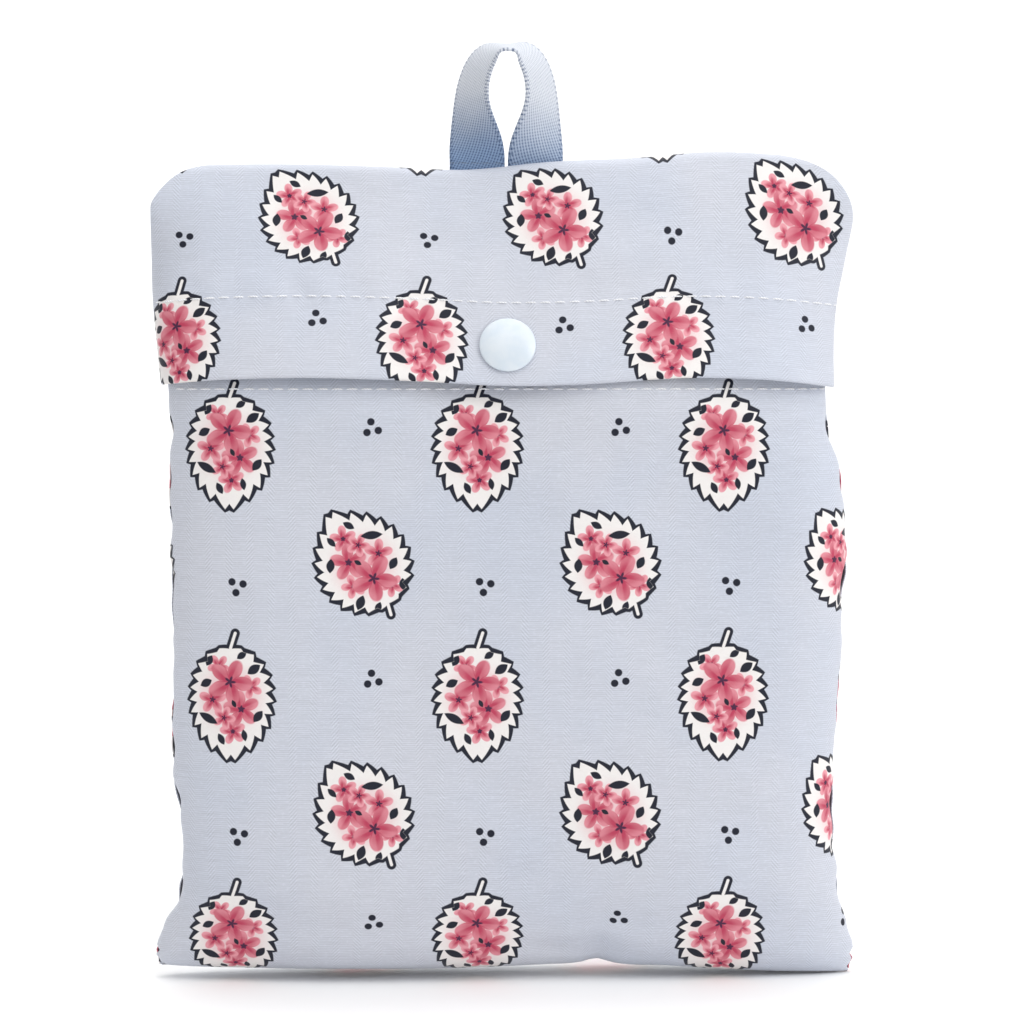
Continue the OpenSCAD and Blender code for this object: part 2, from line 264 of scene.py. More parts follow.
def quads_of_grid(rows: int, columns: int, closed_rows: bool = False, closed_columns: bool = False) -> Array:
    """Faces of a grid of points.

    Args:
        rows: number of rows of points.
        columns: number of points in a row.
        closed_rows: joins the last row to the first.
        closed_columns: joins each row's last point to its first.

    Returns:
        One row of four point numbers per face; its normal is the row direction crossed with the column
        direction.
    """
    r = np.arange(rows if closed_rows else rows - 1)[:, None]
    c = np.arange(columns if closed_columns else columns - 1)[None, :]
    r1, c1 = (r + 1) % rows, (c + 1) % columns
    corners = [r * columns + c, r1 * columns + c, r1 * columns + c1, r * columns + c1]
    return np.stack([np.broadcast_to(k, (r.shape[0], c.shape[1])) for k in corners], axis=-1).reshape(-1, 4)


def make_object(
    name: str, points: Array, faces: Array | list[list[int]], uv: Array | None = None
) -> bpy.types.Object:
    """Makes a smooth mesh object at the origin.

    Args:
        name: name of the piece.
        points: its points, in millimetres.
        faces: point numbers of its faces.
        uv: place of each point on the flat cloth, in millimetres.

    Returns:
        The new object, with its place in its mesh.
    """
    mesh = bpy.data.meshes.new(name)
    listed = faces if isinstance(faces, list) else faces.tolist()
    mesh.from_pydata((points.reshape(-1, 3) * MM).tolist(), [], listed)
    mesh.polygons.foreach_set("use_smooth", np.ones(len(mesh.polygons), bool))
    if uv is not None:
        corners = np.zeros(len(mesh.loops), np.int32)
        mesh.loops.foreach_get("vertex_index", corners)
        layer = mesh.uv_layers.new(name=CLOTH_MAP)
        layer.data.foreach_set("uv", (uv.reshape(-1, 2)[corners] * MM).ravel())
    mesh.update()
    made = bpy.data.objects.new(name, mesh)
    bpy.context.scene.collection.objects.link(made)
    return made


def flat_across(points: Array, middle: float) -> Array:
    """Places across the flat cloth.

    Args:
        points: grid of points.
        middle: X of the place that is 0.

    Returns:
        Running length along each row, less its value where the row passes the middle.
    """
    steps = np.linalg.norm(np.diff(points, axis=1), axis=-1)
    run = np.concatenate([np.zeros((len(points), 1)), np.cumsum(steps, axis=1)], axis=1)
    rows = np.arange(len(points))
    near = np.argmin(np.abs(points[..., 0] - middle), axis=1)
    return run - (run[rows, near] + middle - points[rows, near, 0])[:, None]


@dataclass
class Patch:
    """A piece of cloth as a grid: rows of points along its length, in millimetres.

    points holds the places and uv the places on the flat cloth.
    """

    points: Array
    uv: Array

    def normals(self) -> Array:
        """Unit normals: the row direction crossed with the column direction."""
        down, across = np.gradient(self.points, axis=0), np.gradient(self.points, axis=1)
        return unit(np.cross(down, across))

    def pick(self, grid: Array, row: Array, column: Array) -> Array:
        """Values of a grid between its points.

        Args:
            grid: the grid to read, of the patch's shape.
            row: row numbers, with fractions.
            column: column numbers, with fractions.

        Returns:
            The mean of the four nearest values, weighted by nearness.
        """
        r = np.clip(row, 0.0, grid.shape[0] - 1.001)
        c = np.clip(column, 0.0, grid.shape[1] - 1.001)
        r0, c0 = r.astype(int), c.astype(int)
        kr, kc = (r - r0)[:, None], (c - c0)[:, None]
        low = grid[r0, c0] * (1 - kc) + grid[r0, c0 + 1] * kc
        high = grid[r0 + 1, c0] * (1 - kc) + grid[r0 + 1, c0 + 1] * kc
        return low * (1 - kr) + high * kr

    def build(self, name: str, finish: Finish, thickness: float, wrong_side: Finish | None = None):
        """Makes the cloth's object.

        Args:
            name: name of the piece.
            finish: finish of its outer side.
            thickness: thickness of the cloth, which grows inwards.
            wrong_side: finish of its inner side, where that differs.

        Returns:
            The object, closed by a Solidify modifier.
        """
        made = make_object(name, self.points, quads_of_grid(*self.points.shape[:2]), self.uv)
        made.data.materials.append(finish.material())
        if wrong_side is not None:
            made.data.materials.append(wrong_side.material())
        wall = made.modifiers.new("thickness", "SOLIDIFY")
        wall.thickness = thickness * MM
        wall.offset = -1.0
        wall.material_offset = 0 if wrong_side is None else 1
        return made


@dataclass(frozen=True)
class Seam:
    """A row of lock stitches: short humps of thread that dip into the cloth at both ends."""

    pitch: float = 3.9
    length: float = 3.3
    thread: float = 0.23
    sides: int = 6
    rings: int = 8
    rise: float = 0.34
    sunk: float = 0.16
    end_swell: float = 0.04
    crosswise: bool = False

    def hump(self) -> tuple[Array, Array]:
        """One stitch along +X.

        Returns:
            Its points, as rings whose radius follows the root of a sine and whose middle rises by the
            same sine, and its faces with both ends closed.
        """
        t = np.linspace(0.0, 1.0, self.rings)[:, None]
        a = np.linspace(0.0, 2.0 * math.pi, self.sides, endpoint=False)[None, :]
        swell = np.sqrt(np.sin(math.pi * lerp(self.end_swell, 1.0 - self.end_swell, t)))
        rise = self.rise * np.sin(math.pi * t) - self.sunk
        x = (t - 0.5) * self.length + 0.0 * a
        y = self.thread * swell * np.cos(a)
        z = rise + self.thread * swell * np.sin(a)
        ends = np.array([[-self.length / 2, 0.0, -self.sunk], [self.length / 2, 0.0, -self.sunk]])
        points = np.concatenate([np.stack([x, y, z], axis=-1).reshape(-1, 3), ends])
        walls = quads_of_grid(self.rings, self.sides, closed_columns=True)[:, ::-1]
        first, last = self.rings * self.sides, self.rings * self.sides + 1
        k = np.arange(self.sides)
        k1 = (k + 1) % self.sides
        top = last - 1 - self.sides
        caps = [[first] * self.sides, k1, k, k], [[last] * self.sides, top + k, top + k1, top + k1]
        return points, np.concatenate([walls, *(np.stack(c, axis=1) for c in caps)])

    def sew(self, name: str, places: Array, along: Array, out: Array, finish: Finish) -> bpy.types.Object:
        """Makes a row of stitches.

        Args:
            name: name of the piece.
            places: middle of each stitch, in millimetres.
            along: unit direction of each stitch.
            out: unit normal of the cloth at each stitch.
            finish: finish of the thread.

        Returns:
            One object with all the stitches.
        """
        hump, faces = self.hump()
        side = np.cross(out, along)
        axes = np.stack([along, side, out], axis=1)
        points = places[:, None, :] + np.einsum("kc,ncd->nkd", hump, axes)
        shift = np.arange(len(places))[:, None, None] * len(hump)
        quads = (faces[None] + shift).reshape(-1, 4)
        uv = np.stack([np.tile(hump[:, 0], len(places)), np.tile(hump[:, 1], len(places))], axis=1)
        made = make_object(name, points, [q[:3] if q[2] == q[3] else q for q in quads.tolist()], uv)
        made.data.materials.append(finish.material())
        return made

    def sew_row(self, name: str, patch: Patch, row: float, column: Array, along: Array, finish: Finish):
        """Sews stitches at places of one row of a patch.

        Args:
            name: name of the piece.
            patch: the cloth it is sewn on.
            row: row number of the line, with a fraction.
            column: column number of each stitch, with a fraction.
            along: direction of the row at each stitch.
            finish: finish of the thread.

        Returns:
            The row of stitches, each turned across the row if the seam is crosswise.
        """
        rows = np.full_like(column, row)
        along = unit(along)
        out = square_to(patch.pick(patch.normals(), rows, column), along)
        places = patch.pick(patch.points, rows, column)
        return self.sew(name, places, np.cross(out, along) if self.crosswise else along, out, finish)

    def along_row(self, name: str, patch: Patch, row: float, spans: Sequence[Span], finish: Finish):
        """Sews along one row of a patch.

        Args:
            name: name of the piece.
            patch: the cloth it is sewn on.
            row: row number of the line, with a fraction.
            spans: lowest and highest place of each stretch, in millimetres from the middle.
            finish: finish of the thread.

        Returns:
            The row of stitches.
        """
        columns = np.arange(patch.points.shape[1], dtype=float)
        line = patch.pick(patch.points, np.full_like(columns, row), columns)
        run = lengths_along(line)
        order = np.argsort(line[:, 0])
        run = run - np.interp(0.0, line[order, 0], run[order])
        middles = np.concatenate([np.arange(low, high, self.pitch) for low, high in spans])
        column = np.interp(middles, run, columns)
        rows = np.full_like(column, row)
        ahead = np.interp(middles + self.length / 2, run, columns)
        behind = np.interp(middles - self.length / 2, run, columns)
        along = patch.pick(patch.points, rows, ahead) - patch.pick(patch.points, rows, behind)
        return self.sew_row(name, patch, row, column, along, finish)

    def along_line(self, name: str, patch: Patch, row: float, reach: float, finish: Finish):
        """Sews along a row of a patch that doesn't run along X.

        Args:
            name: name of the piece.
            patch: the cloth it is sewn on.
            row: row number of the line, with a fraction.
            reach: half the length that is sewn, about the row's middle.
            finish: finish of the thread.

        Returns:
            The row of stitches.
        """
        columns = np.arange(patch.points.shape[1], dtype=float)
        run = lengths_along(patch.pick(patch.points, np.full_like(columns, row), columns))
        column = np.interp(np.arange(-reach, reach, self.pitch) + run[-1] / 2, run, columns)
        along = np.gradient(patch.pick(patch.points, np.full_like(column, row), column), axis=0)
        return self.sew_row(name, patch, row, column, along, finish)


def ribbon(
    centre: Array, across: Array, width: float, thickness: float, sides: int = 20
) -> tuple[Array, Array]:
    """A band of webbing carried along a path.

    Args:
        centre: points of the path, in millimetres.
        across: unit direction of the band's width at each point.
        width: width of the band.
        thickness: its thickness.
        sides: points round its section.

    Returns:
        Points and flat places of a grid whose rows go round the section, a rounded bar: the width times the
        eased cosine and the thickness times the eased sine of the angle round it.
    """
    tangent = unit(np.gradient(centre, axis=0))
    across = square_to(across, tangent)
    out = np.cross(tangent, across)
    angle = np.linspace(0.0, 2.0 * math.pi, sides + 1)
    wide = squared(np.cos(angle), BAND_EDGE) * width / 2
    thick = squared(np.sin(angle), BAND_FACE) * thickness / 2
    points = centre[:, None] + across[:, None] * wide[None, :, None] + out[:, None] * thick[None, :, None]
    uv = np.stack(np.broadcast_arrays(wide[None, :], lengths_along(centre)[:, None]), axis=-1)
    return points, uv


def band(
    name: str,
    centre: Array,
    across: Array,
    width: float,
    thickness: float,
    finish: Finish,
    turned: float = 0.0,
) -> bpy.types.Object:
    """Makes a closed band of webbing along a path.

    Args:
        name: name of the piece.
        centre: points of the path, in millimetres.
        across: unit direction of the band's width at each point.
        width: width of the band.
        thickness: its thickness.
        finish: finish of the webbing.
        turned: share by which the flat places past the band's middle run back to its start.

    Returns:
        The band's object, with both ends closed.
    """
    points, uv = ribbon(centre, across, width, thickness)
    run = uv[..., 1]
    uv[..., 1] = run - turned * np.maximum(run - run.max() / 2, 0.0)
    made = make_object(name, points, quads_of_grid(*points.shape[:2])[:, ::-1], uv)
    made.data.materials.append(finish.material())
    weld_and_cap(made)
    return made


def weld_and_cap(made: bpy.types.Object) -> None:
    """Merges a mesh's doubles, closes its open ends and turns its faces outwards."""
    work = bmesh.new()
    work.from_mesh(made.data)
    bmesh.ops.remove_doubles(work, verts=work.verts, dist=1e-6)
    open_edges = [e for e in work.edges if e.is_boundary]
    bmesh.ops.holes_fill(work, edges=open_edges, sides=0)
    bmesh.ops.recalc_face_normals(work, faces=work.faces)
    work.to_mesh(made.data)
    work.free()


def lathe(name: str, profile: Array, axis: Point, foot: Point, finish: Finish, sides: int = 96):
    """Turns a profile about an axis.

    Args:
        name: name of the piece.
        profile: distance from the axis and height above the foot, from the lower pole to the upper.
        axis: unit direction of the axis.
        foot: the point on the axis where heights are 0, in millimetres.
        finish: its finish.
        sides: number of steps round the axis.

    Returns:
        The turned piece, closed at both poles.
    """
    up = np.array(axis)
    side = np.array([1.0, 0.0, 0.0])
    front = np.cross(up, side)
    angle = np.linspace(0.0, 2.0 * math.pi, sides, endpoint=False)
    ring = np.cos(angle)[:, None] * side + np.sin(angle)[:, None] * front
    points = np.array(foot) + profile[:, 0, None, None] * ring[None] + profile[:, 1, None, None] * up
    uv = np.stack([profile[:, 0, None] * np.cos(angle), profile[:, 0, None] * np.sin(angle)], axis=-1)
    made = make_object(name, points, quads_of_grid(*points.shape[:2], closed_columns=True), uv)
    made.data.materials.append(finish.material())
    weld_and_cap(made)
    return made


# ---------------------------------------------------------------------------------------------
# Shader graphs
# ---------------------------------------------------------------------------------------------


class Value:
    """A node's output that Python arithmetic adds Math nodes to."""

    def __init__(self, graph: Graph, socket: bpy.types.NodeSocket) -> None:
        """Wraps a socket of a graph."""
        self.graph = graph
        self.socket = socket

    def __add__(self, other: Number) -> Value:
        """This plus another."""
        return self.graph.math("ADD", self, other)

    __radd__ = __add__

    def __sub__(self, other: Number) -> Value:
        """This less another."""
        return self.graph.math("SUBTRACT", self, other)

    def __rsub__(self, other: Number) -> Value:
        """Another less this."""
        return self.graph.math("SUBTRACT", other, self)

    def __mul__(self, other: Number) -> Value:
        """This times another."""
        return self.graph.math("MULTIPLY", self, other)

    __rmul__ = __mul__

    def __truediv__(self, other: Number) -> Value:
        """This over another."""
        return self.graph.math("DIVIDE", self, other)

    def __lt__(self, other: Number) -> Value:
        """1 where this is less than another, else 0."""
        return self.graph.math("LESS_THAN", self, other)

    def __abs__(self) -> Value:
        """The size of this, without its sign."""
        return self.graph.math("ABSOLUTE", self)

    def sin(self) -> Value:
        """The sine of this."""
        return self.graph.math("SINE", self)

    def cos(self) -> Value:
        """The cosine of this."""
        return self.graph.math("COSINE", self)

    def part(self) -> Value:
        """What is left of this past the whole number below it."""
        return self.graph.math("FRACT", self)

    def least(self, other: Number) -> Value:
        """The lesser of this and another."""
        return self.graph.math("MINIMUM", self, other)

    def most(self, other: Number) -> Value:
        """The greater of this and another."""
        return self.graph.math("MAXIMUM", self, other)

    def ramp(self, low: float, high: float) -> Value:
        """0 below low and 1 above high, with a smooth rise between."""
        settings = {"interpolation_type": "SMOOTHSTEP"}
        return self.graph.node("ShaderNodeMapRange", settings, {0: self, 1: low, 2: high}).first


Number = Value | float


class Node:
    """A node that was added to a graph."""

    def __init__(self, graph: Graph, node: bpy.types.Node) -> None:
        """Wraps a node of a graph."""
        self.graph = graph
        self.raw = node

    def out(self, name: str | int) -> Value:
        """The output of that name or number."""
        return Value(self.graph, self.raw.outputs[name])

    @property
    def first(self) -> Value:
        """The first output."""
        return self.out(0)


class Graph:
    """The node graph of one material."""

    def __init__(self, name: str) -> None:
        """Makes an empty material of that name."""
        self.made = bpy.data.materials.new(name)
        self.made.use_nodes = True
        self.tree = self.made.node_tree
        self.tree.nodes.clear()

    def node(self, kind: str, settings: Mapping[str, object], sockets: Mapping[str | int, object]) -> Node:
        """Adds a node.

        Args:
            kind: type of the node.
            settings: its own properties, set first.
            sockets: the value or the link of each input, by name or number.

        Returns:
            The node.
        """
        made = self.tree.nodes.new(kind)
        for name, value in settings.items():
            setattr(made, name, value)
        for name, value in sockets.items():
            if isinstance(value, Value):
                self.tree.links.new(value.socket, made.inputs[name])
            else:
                made.inputs[name].default_value = value
        return Node(self, made)

    def math(self, operation: str, *terms: Number) -> Value:
        """A Math node of that operation on the terms."""
        return self.node("ShaderNodeMath", {"operation": operation}, dict(enumerate(terms))).first

    def mix(self, share: Number, a: object, b: object) -> Value:
        """The colour that lies the share of the way from a to b."""
        settings = {"data_type": "RGBA", "clamp_factor": True}
        return self.node("ShaderNodeMix", settings, {0: share, 6: a, 7: b}).out(2)

    def noise(self, place: Value, scale: float, detail: float) -> Value:
        """A noise from 0 to 1 at a place, in waves per millimetre."""
        sockets = {"Vector": place, "Scale": scale, "Detail": detail}
        return self.node("ShaderNodeTexNoise", {}, sockets).first

    def cloth_place(self) -> Value:
        """The place on the flat cloth, in millimetres, as a vector."""
        place = self.node("ShaderNodeUVMap", {"uv_map": CLOTH_MAP}, {}).first
        return self.node("ShaderNodeVectorMath", {"operation": "SCALE"}, {0: place, "Scale": 1.0 / MM}).first

    def object_place(self) -> Value:
        """The place in the row frame, in millimetres, as a vector."""
        place = self.node("ShaderNodeTexCoord", {}, {}).out("Object")
        return self.node("ShaderNodeVectorMath", {"operation": "SCALE"}, {0: place, "Scale": 1.0 / MM}).first

    def parts(self, vector: Value) -> tuple[Value, Value]:
        """The first two parts of a vector."""
        apart = self.node("ShaderNodeSeparateXYZ", {}, {0: vector})
        return apart.out(0), apart.out(1)

    def joined(self, x: Number, y: Number) -> Value:
        """A vector of two numbers."""
        return self.node("ShaderNodeCombineXYZ", {}, {0: x, 1: y}).first

    def raised(self, height: Value, strength: float, depth: float) -> Value:
        """A normal that follows a height field.

        Args:
            height: the field, from 0 to 1.
            strength: how much of it shows.
            depth: its full height, in millimetres.

        Returns:
            The normal.
        """
        sockets = {"Strength": strength, "Distance": depth * MM, "Height": height}
        return self.node("ShaderNodeBump", {}, sockets).out("Normal")

    def surface(self, sockets: Mapping[str, object]) -> bpy.types.Material:
        """Ends the graph with a Principled surface.

        Args:
            sockets: values and links of its inputs.

        Returns:
            The material.
        """
        body = self.node("ShaderNodeBsdfPrincipled", {}, sockets)
        self.node("ShaderNodeOutputMaterial", {}, {"Surface": body.first})
        return self.made


Colour = tuple[float, float, float, float]


def colour(red: int, green: int, blue: int) -> Colour:
    """A colour from its screen values: each share to the power of 2.2."""
    return (*((part / 255.0) ** 2.2 for part in (red, green, blue)), 1.0)


# ---------------------------------------------------------------------------------------------
# Finishes
# ---------------------------------------------------------------------------------------------


class Finish:
    """A finish whose material is made once and then shared."""

    name: str

    def material(self) -> bpy.types.Material:
        """The finish's material, made when it is first asked for."""
        return bpy.data.materials.get(self.name) or self.make()

    def make(self) -> bpy.types.Material:
        """Makes the material."""
        raise NotImplementedError


@dataclass(frozen=True)
class Blossom:
    """A printed blossom in its leaf's own axes: middle and reach in millimetres, turn in radians."""

    x: float
    y: float
    reach: float
    turn: float
    pale: float


@dataclass(frozen=True)
class Stroke:
    """A printed lens-shaped stroke between two points, in the leaf's own axes, in millimetres."""

    x0: float
    y0: float
    x1: float
    y1: float
    swell: float


@dataclass(frozen=True)
class PrintCloth(Finish):
    """Pale blue ripstop with a print of toothed leaves, each filled with blossoms, and groups of dots.

    The print repeats in cells. A cell holds one long upright leaf and one round leaf on a slant. Both share
    one set of blossoms, worked out in the axes of the nearer leaf, whose tip points along less y.
    """

    name: str = "printed_ripstop"
    ink_share: float = 1.0
    cell: tuple[float, float] = (65.6, 66.7)
    first_leaf: tuple[float, float] = (0.0, 1.4)
    second_leaf: tuple[float, float] = (35.6, -30.2)
    second_tip: tuple[float, float] = (-0.56, 0.83)
    dots_up: tuple[float, float] = (37.8, 6.2)
    dots_down: tuple[float, float] = (1.9, -35.6)
    dot_reach: float = 1.0
    dot_ring: float = 1.75
    teeth: float = 11.0
    tooth: float = 1.25
    line: float = 0.92
    leaf_reach: float = 13.2
    leaf_wave: float = 0.2
    leaf_waist: float = 0.3
    long_waist: float = 1.0
    tip_reach: float = 3.9
    long_tip_less: float = 0.9
    tip_fall: float = 3.4
    tooth_rise: float = 0.24
    stalk: Stroke = Stroke(0.1, 10.8, 1.4, 14.8, 0.0)
    stalk_shift: float = 2.4
    stalk_half: tuple[float, float] = (1.15, 1.40)
    pith_half: tuple[float, float] = (0.30, 0.50)
    rib_step: float = 5.6
    thread_step: float = 0.56
    hatch_step: float = 0.80
    base: Colour = colour(199, 202, 212)
    shade: Colour = colour(183, 193, 211)
    ink: Colour = colour(22, 26, 42)
    cream: Colour = colour(234, 230, 228)
    rose: Colour = colour(182, 62, 88)
    blush: Colour = colour(226, 152, 162)
    plum: Colour = colour(70, 30, 62)
    blossoms: tuple[Blossom, ...] = (
        Blossom(0.6, -9.0, 3.6, 1.9, 0.95),
        Blossom(-5.0, -0.6, 3.9, 2.4, 0.80),
        Blossom(5.4, 3.0, 3.3, 1.3, 1.00),
        Blossom(-3.2, 8.4, 3.2, 0.9, 0.90),
        Blossom(2.9, -3.0, 5.0, 2.0, 0.45),
        Blossom(-1.8, -5.4, 3.2, 0.2, 1.00),
        Blossom(-0.2, 4.2, 6.2, 0.3, 0.35),
    )
    strokes: tuple[Stroke, ...] = (
        Stroke(-8.4, 3.0, -5.2, 4.6, 1.1),
        Stroke(4.6, 6.4, 8.0, 8.8, 1.2),
        Stroke(-6.6, 8.4, -5.0, 11.2, 1.0),
        Stroke(1.8, 10.4, 4.4, 12.2, 0.9),
        Stroke(-8.8, -4.2, -3.6, -7.0, 1.1),
        Stroke(6.2, -6.4, 8.6, -3.4, 1.1),
        Stroke(-3.4, -9.6, -1.8, -12.6, 0.9),
        Stroke(3.4, -8.4, 4.0, -11.6, 0.8),
        Stroke(0.4, -0.6, 1.4, -2.6, 0.6),
    )

    def wrapped(self, u: Value, v: Value, place: tuple[float, float]) -> tuple[Value, Value]:
        """Place in the cell that is centred on a motif.

        Args:
            u: place across the cloth.
            v: place up the cloth.
            place: the motif's middle.

        Returns:
            Both places less the middle, wrapped to half a cell on each side.
        """
        x = (((u - place[0]) / self.cell[0] + 0.5).part() - 0.5) * self.cell[0]
        y = (((v - place[1]) / self.cell[1] + 0.5).part() - 0.5) * self.cell[1]
        return x, y

    def make(self) -> bpy.types.Material:
        """Makes the material."""
        g = Graph(self.name)
        place = g.cloth_place()
        u, v = g.parts(place)
        ground, height = self.weave(g, place, u, v)
        printed, ink = self.leaves(g, u, v, ground)
        dots = self.dots(g, u, v)
        printed = g.mix(dots * self.ink_share, printed, self.ink)
        rough = 0.62 - 0.10 * ink * self.ink_share
        sockets = {
            "Base Color": printed,
            "Roughness": rough,
            "Normal": g.raised(height, 0.55, 0.10),
            "Specular IOR Level": 0.35,
            "Sheen Weight": 0.12,
            "Sheen Roughness": 0.4,
        }
        return g.surface(sockets)

    def weave(self, g: Graph, place: Value, u: Value, v: Value) -> tuple[Value, Value]:
        """The woven ground.

        Args:
            g: the graph.
            place: place on the cloth.
            u: its first part.
            v: its second part.

        Returns:
            The ground's colour and height: fine cross threads, broken by upright bands whose threads slant
            one way in one band and the other way in the next.
        """
        full = 2.0 * math.pi
        drift = g.noise(place, 0.05, 2.0)
        slub = g.noise(g.joined(u * 0.12, v * 1.7), 1.0, 2.0)
        fleck = g.noise(g.joined(u * 0.9, v * 2.2), 1.0, 1.0).ramp(0.52, 0.72)
        line = (v * (full / self.thread_step) + drift * 3.0).sin()
        rib = (u * (full / self.rib_step)).sin().ramp(0.05, 0.75)
        way = (u * (math.pi / self.rib_step) + 0.8).sin().ramp(-0.05, 0.05) * 2.0 - 1.0
        slant = (u * way * 0.85 + v * 0.75) * (full / self.hatch_step)
        hatch = slant.sin() * rib * (0.35 + g.noise(place, 0.22, 1.0))
        threads = line * (1.0 - rib * 0.5) * 0.40 + hatch * 0.70 + (slub - 0.5) * 1.1 + fleck * 0.45 - 0.1
        blotch = g.noise(place, 0.018, 3.0).ramp(0.35, 0.70)
        tone = g.mix(blotch * 0.35, self.base, self.shade)
        light = threads * 0.185 + 1.0
        ground = g.node("ShaderNodeVectorMath", {"operation": "SCALE"}, {0: tone, "Scale": light}).first
        return ground, threads * 0.35 + 0.5

    def leaves(self, g: Graph, u: Value, v: Value, ground: Value) -> tuple[Value, Value]:
        """The printed leaves.

        Args:
            g: the graph.
            u: place across the cloth.
            v: place up the cloth.
            ground: colour of the ground.

        Returns:
            The colour with the leaves printed on the ground, and the share of ink at each place. A leaf's
            edge is its reach at an angle from its tip: a mean, a first and second cosine and a pointed tip,
            plus a row of slanted teeth.
        """
        xa, ya = self.wrapped(u, v, self.first_leaf)
        sx, sy = self.wrapped(u, v, self.second_leaf)
        tx, ty = self.second_tip
        xb = sx * -ty + sy * tx
        yb = sx * -tx + sy * -ty
        near = (xa * xa + ya * ya) < (sx * sx + sy * sy)
        x = xb + (xa - xb) * near
        y = yb + (ya - yb) * near
        away = g.math("SQRT", x * x + y * y)
        turn = abs(g.math("ARCTAN2", x, y * -1.0))
        tip = g.math("EXPONENT", turn * -self.tip_fall) * (self.tip_reach - self.long_tip_less * near)
        waist = (turn * 2.0).cos() * (self.leaf_waist + self.long_waist * near)
        reach = turn.cos() * self.leaf_wave + waist + tip + self.leaf_reach
        step = (turn * (self.teeth / math.pi)).part()
        tooth = (step / self.tooth_rise).least((1.0 - step) / (1.0 - self.tooth_rise))
        fade = 1.0 - turn.ramp(2.3, 3.0) * 0.75
        edge = reach + (tooth - 0.55) * fade * self.tooth
        off = away - edge
        inside = 1.0 - off.ramp(-0.15, 0.15)
        hollow = 1.0 - (off + (1.0 + (1.0 - tooth) * fade) * self.line).ramp(-0.14, 0.14)
        stem = self.stroke(g, x, y - near * self.stalk_shift, self.stalk)
        stalk = 1.0 - stem.ramp(*self.stalk_half)
        pith = 1.0 - stem.ramp(*self.pith_half)
        drawn = inside.most(stalk)
        filled = hollow.most(pith)
        shown = g.mix(drawn * self.ink_share, ground, self.ink)
        shown = g.mix(filled * self.ink_share, shown, self.cream)
        wash = (1.0 - away.ramp(4.0, 11.0)) * 0.5
        shown = g.mix(wash * hollow * self.ink_share, shown, self.blush)
        for bloom in self.blossoms:
            shown = self.bloom(g, x, y, bloom, hollow, shown)
        for mark in self.strokes:
            far = self.stroke(g, x, y, mark)
            shown = g.mix((1.0 - far.ramp(-0.12, 0.12)) * hollow * self.ink_share, shown, self.ink)
        return shown, drawn - filled * 0.5

    def bloom(self, g: Graph, x: Value, y: Value, bloom: Blossom, inside: Value, under: Value) -> Value:
        """Prints one five-petalled blossom.

        Args:
            g: the graph.
            x: place across the leaf.
            y: place up the leaf.
            bloom: its place and size.
            inside: 1 inside the leaf.
            under: the colour it is printed on.

        Returns:
            The colour with the blossom: its petals reach out by the share 0.46 plus 0.54 of the size of
            the cosine of two and a half turns.
        """
        dx, dy = x - bloom.x, y - bloom.y
        out = g.math("SQRT", dx * dx + dy * dy)
        turn = g.math("ARCTAN2", dy, dx)
        petal = abs((turn * 2.5 + bloom.turn).cos()) * 0.54 + 0.46
        share = out / (petal * bloom.reach)
        mask = (1.0 - share.ramp(0.94, 1.06)) * inside * self.ink_share
        vein = (turn * 5.0 + bloom.turn * 2.0 + 1.2).cos().ramp(0.0, 0.8)
        tint = (share.ramp(0.40, 0.92) * bloom.pale + vein * 0.30).least(1.0)
        shown = g.mix(mask, under, g.mix(tint, self.rose, self.blush))
        heart = 1.0 - (share - (turn * 5.0).cos() * 0.05).ramp(0.16, 0.26)
        return g.mix(heart * mask, shown, self.plum)

    def stroke(self, g: Graph, x: Value, y: Value, mark: Stroke) -> Value:
        """Distance to a stroke.

        Args:
            g: the graph.
            x: place across the leaf.
            y: place up the leaf.
            mark: the stroke.

        Returns:
            Distance to the line between its ends, less its half width, which swells in its middle.
        """
        dx, dy = mark.x1 - mark.x0, mark.y1 - mark.y0
        square = dx * dx + dy * dy
        rx, ry = x - mark.x0, y - mark.y0
        share = (rx * (dx / square) + ry * (dy / square)).most(0.0).least(1.0)
        ox, oy = rx - share * dx, ry - share * dy
        return g.math("SQRT", ox * ox + oy * oy) - share * (1.0 - share) * (4.0 * mark.swell)

    def dots(self, g: Graph, u: Value, v: Value) -> Value:
        """The groups of three dots.

        Args:
            g: the graph.
            u: place across the cloth.
            v: place up the cloth.

        Returns:
            1 on a dot. Each group is worked out in one third of a turn about its middle.
        """
        ax, ay = self.wrapped(u, v, self.dots_up)
        bx, by = self.wrapped(u, v, self.dots_down)
        near = (ax * ax + ay * ay) < (bx * bx + by * by)
        x = bx + (ax - bx) * near
        y = by * -1.0 + (ay + by) * near
        third = 2.0 * math.pi / 3.0
        turn = (((g.math("ARCTAN2", y, x) - 1.75) / third + 0.5).part() - 0.5) * third
        out = g.math("SQRT", x * x + y * y)
        off = out * out + self.dot_ring**2 - out * turn.cos() * (2.0 * self.dot_ring)
        return 1.0 - g.math("SQRT", off.most(0.0)).ramp(self.dot_reach - 0.12, self.dot_reach + 0.12)


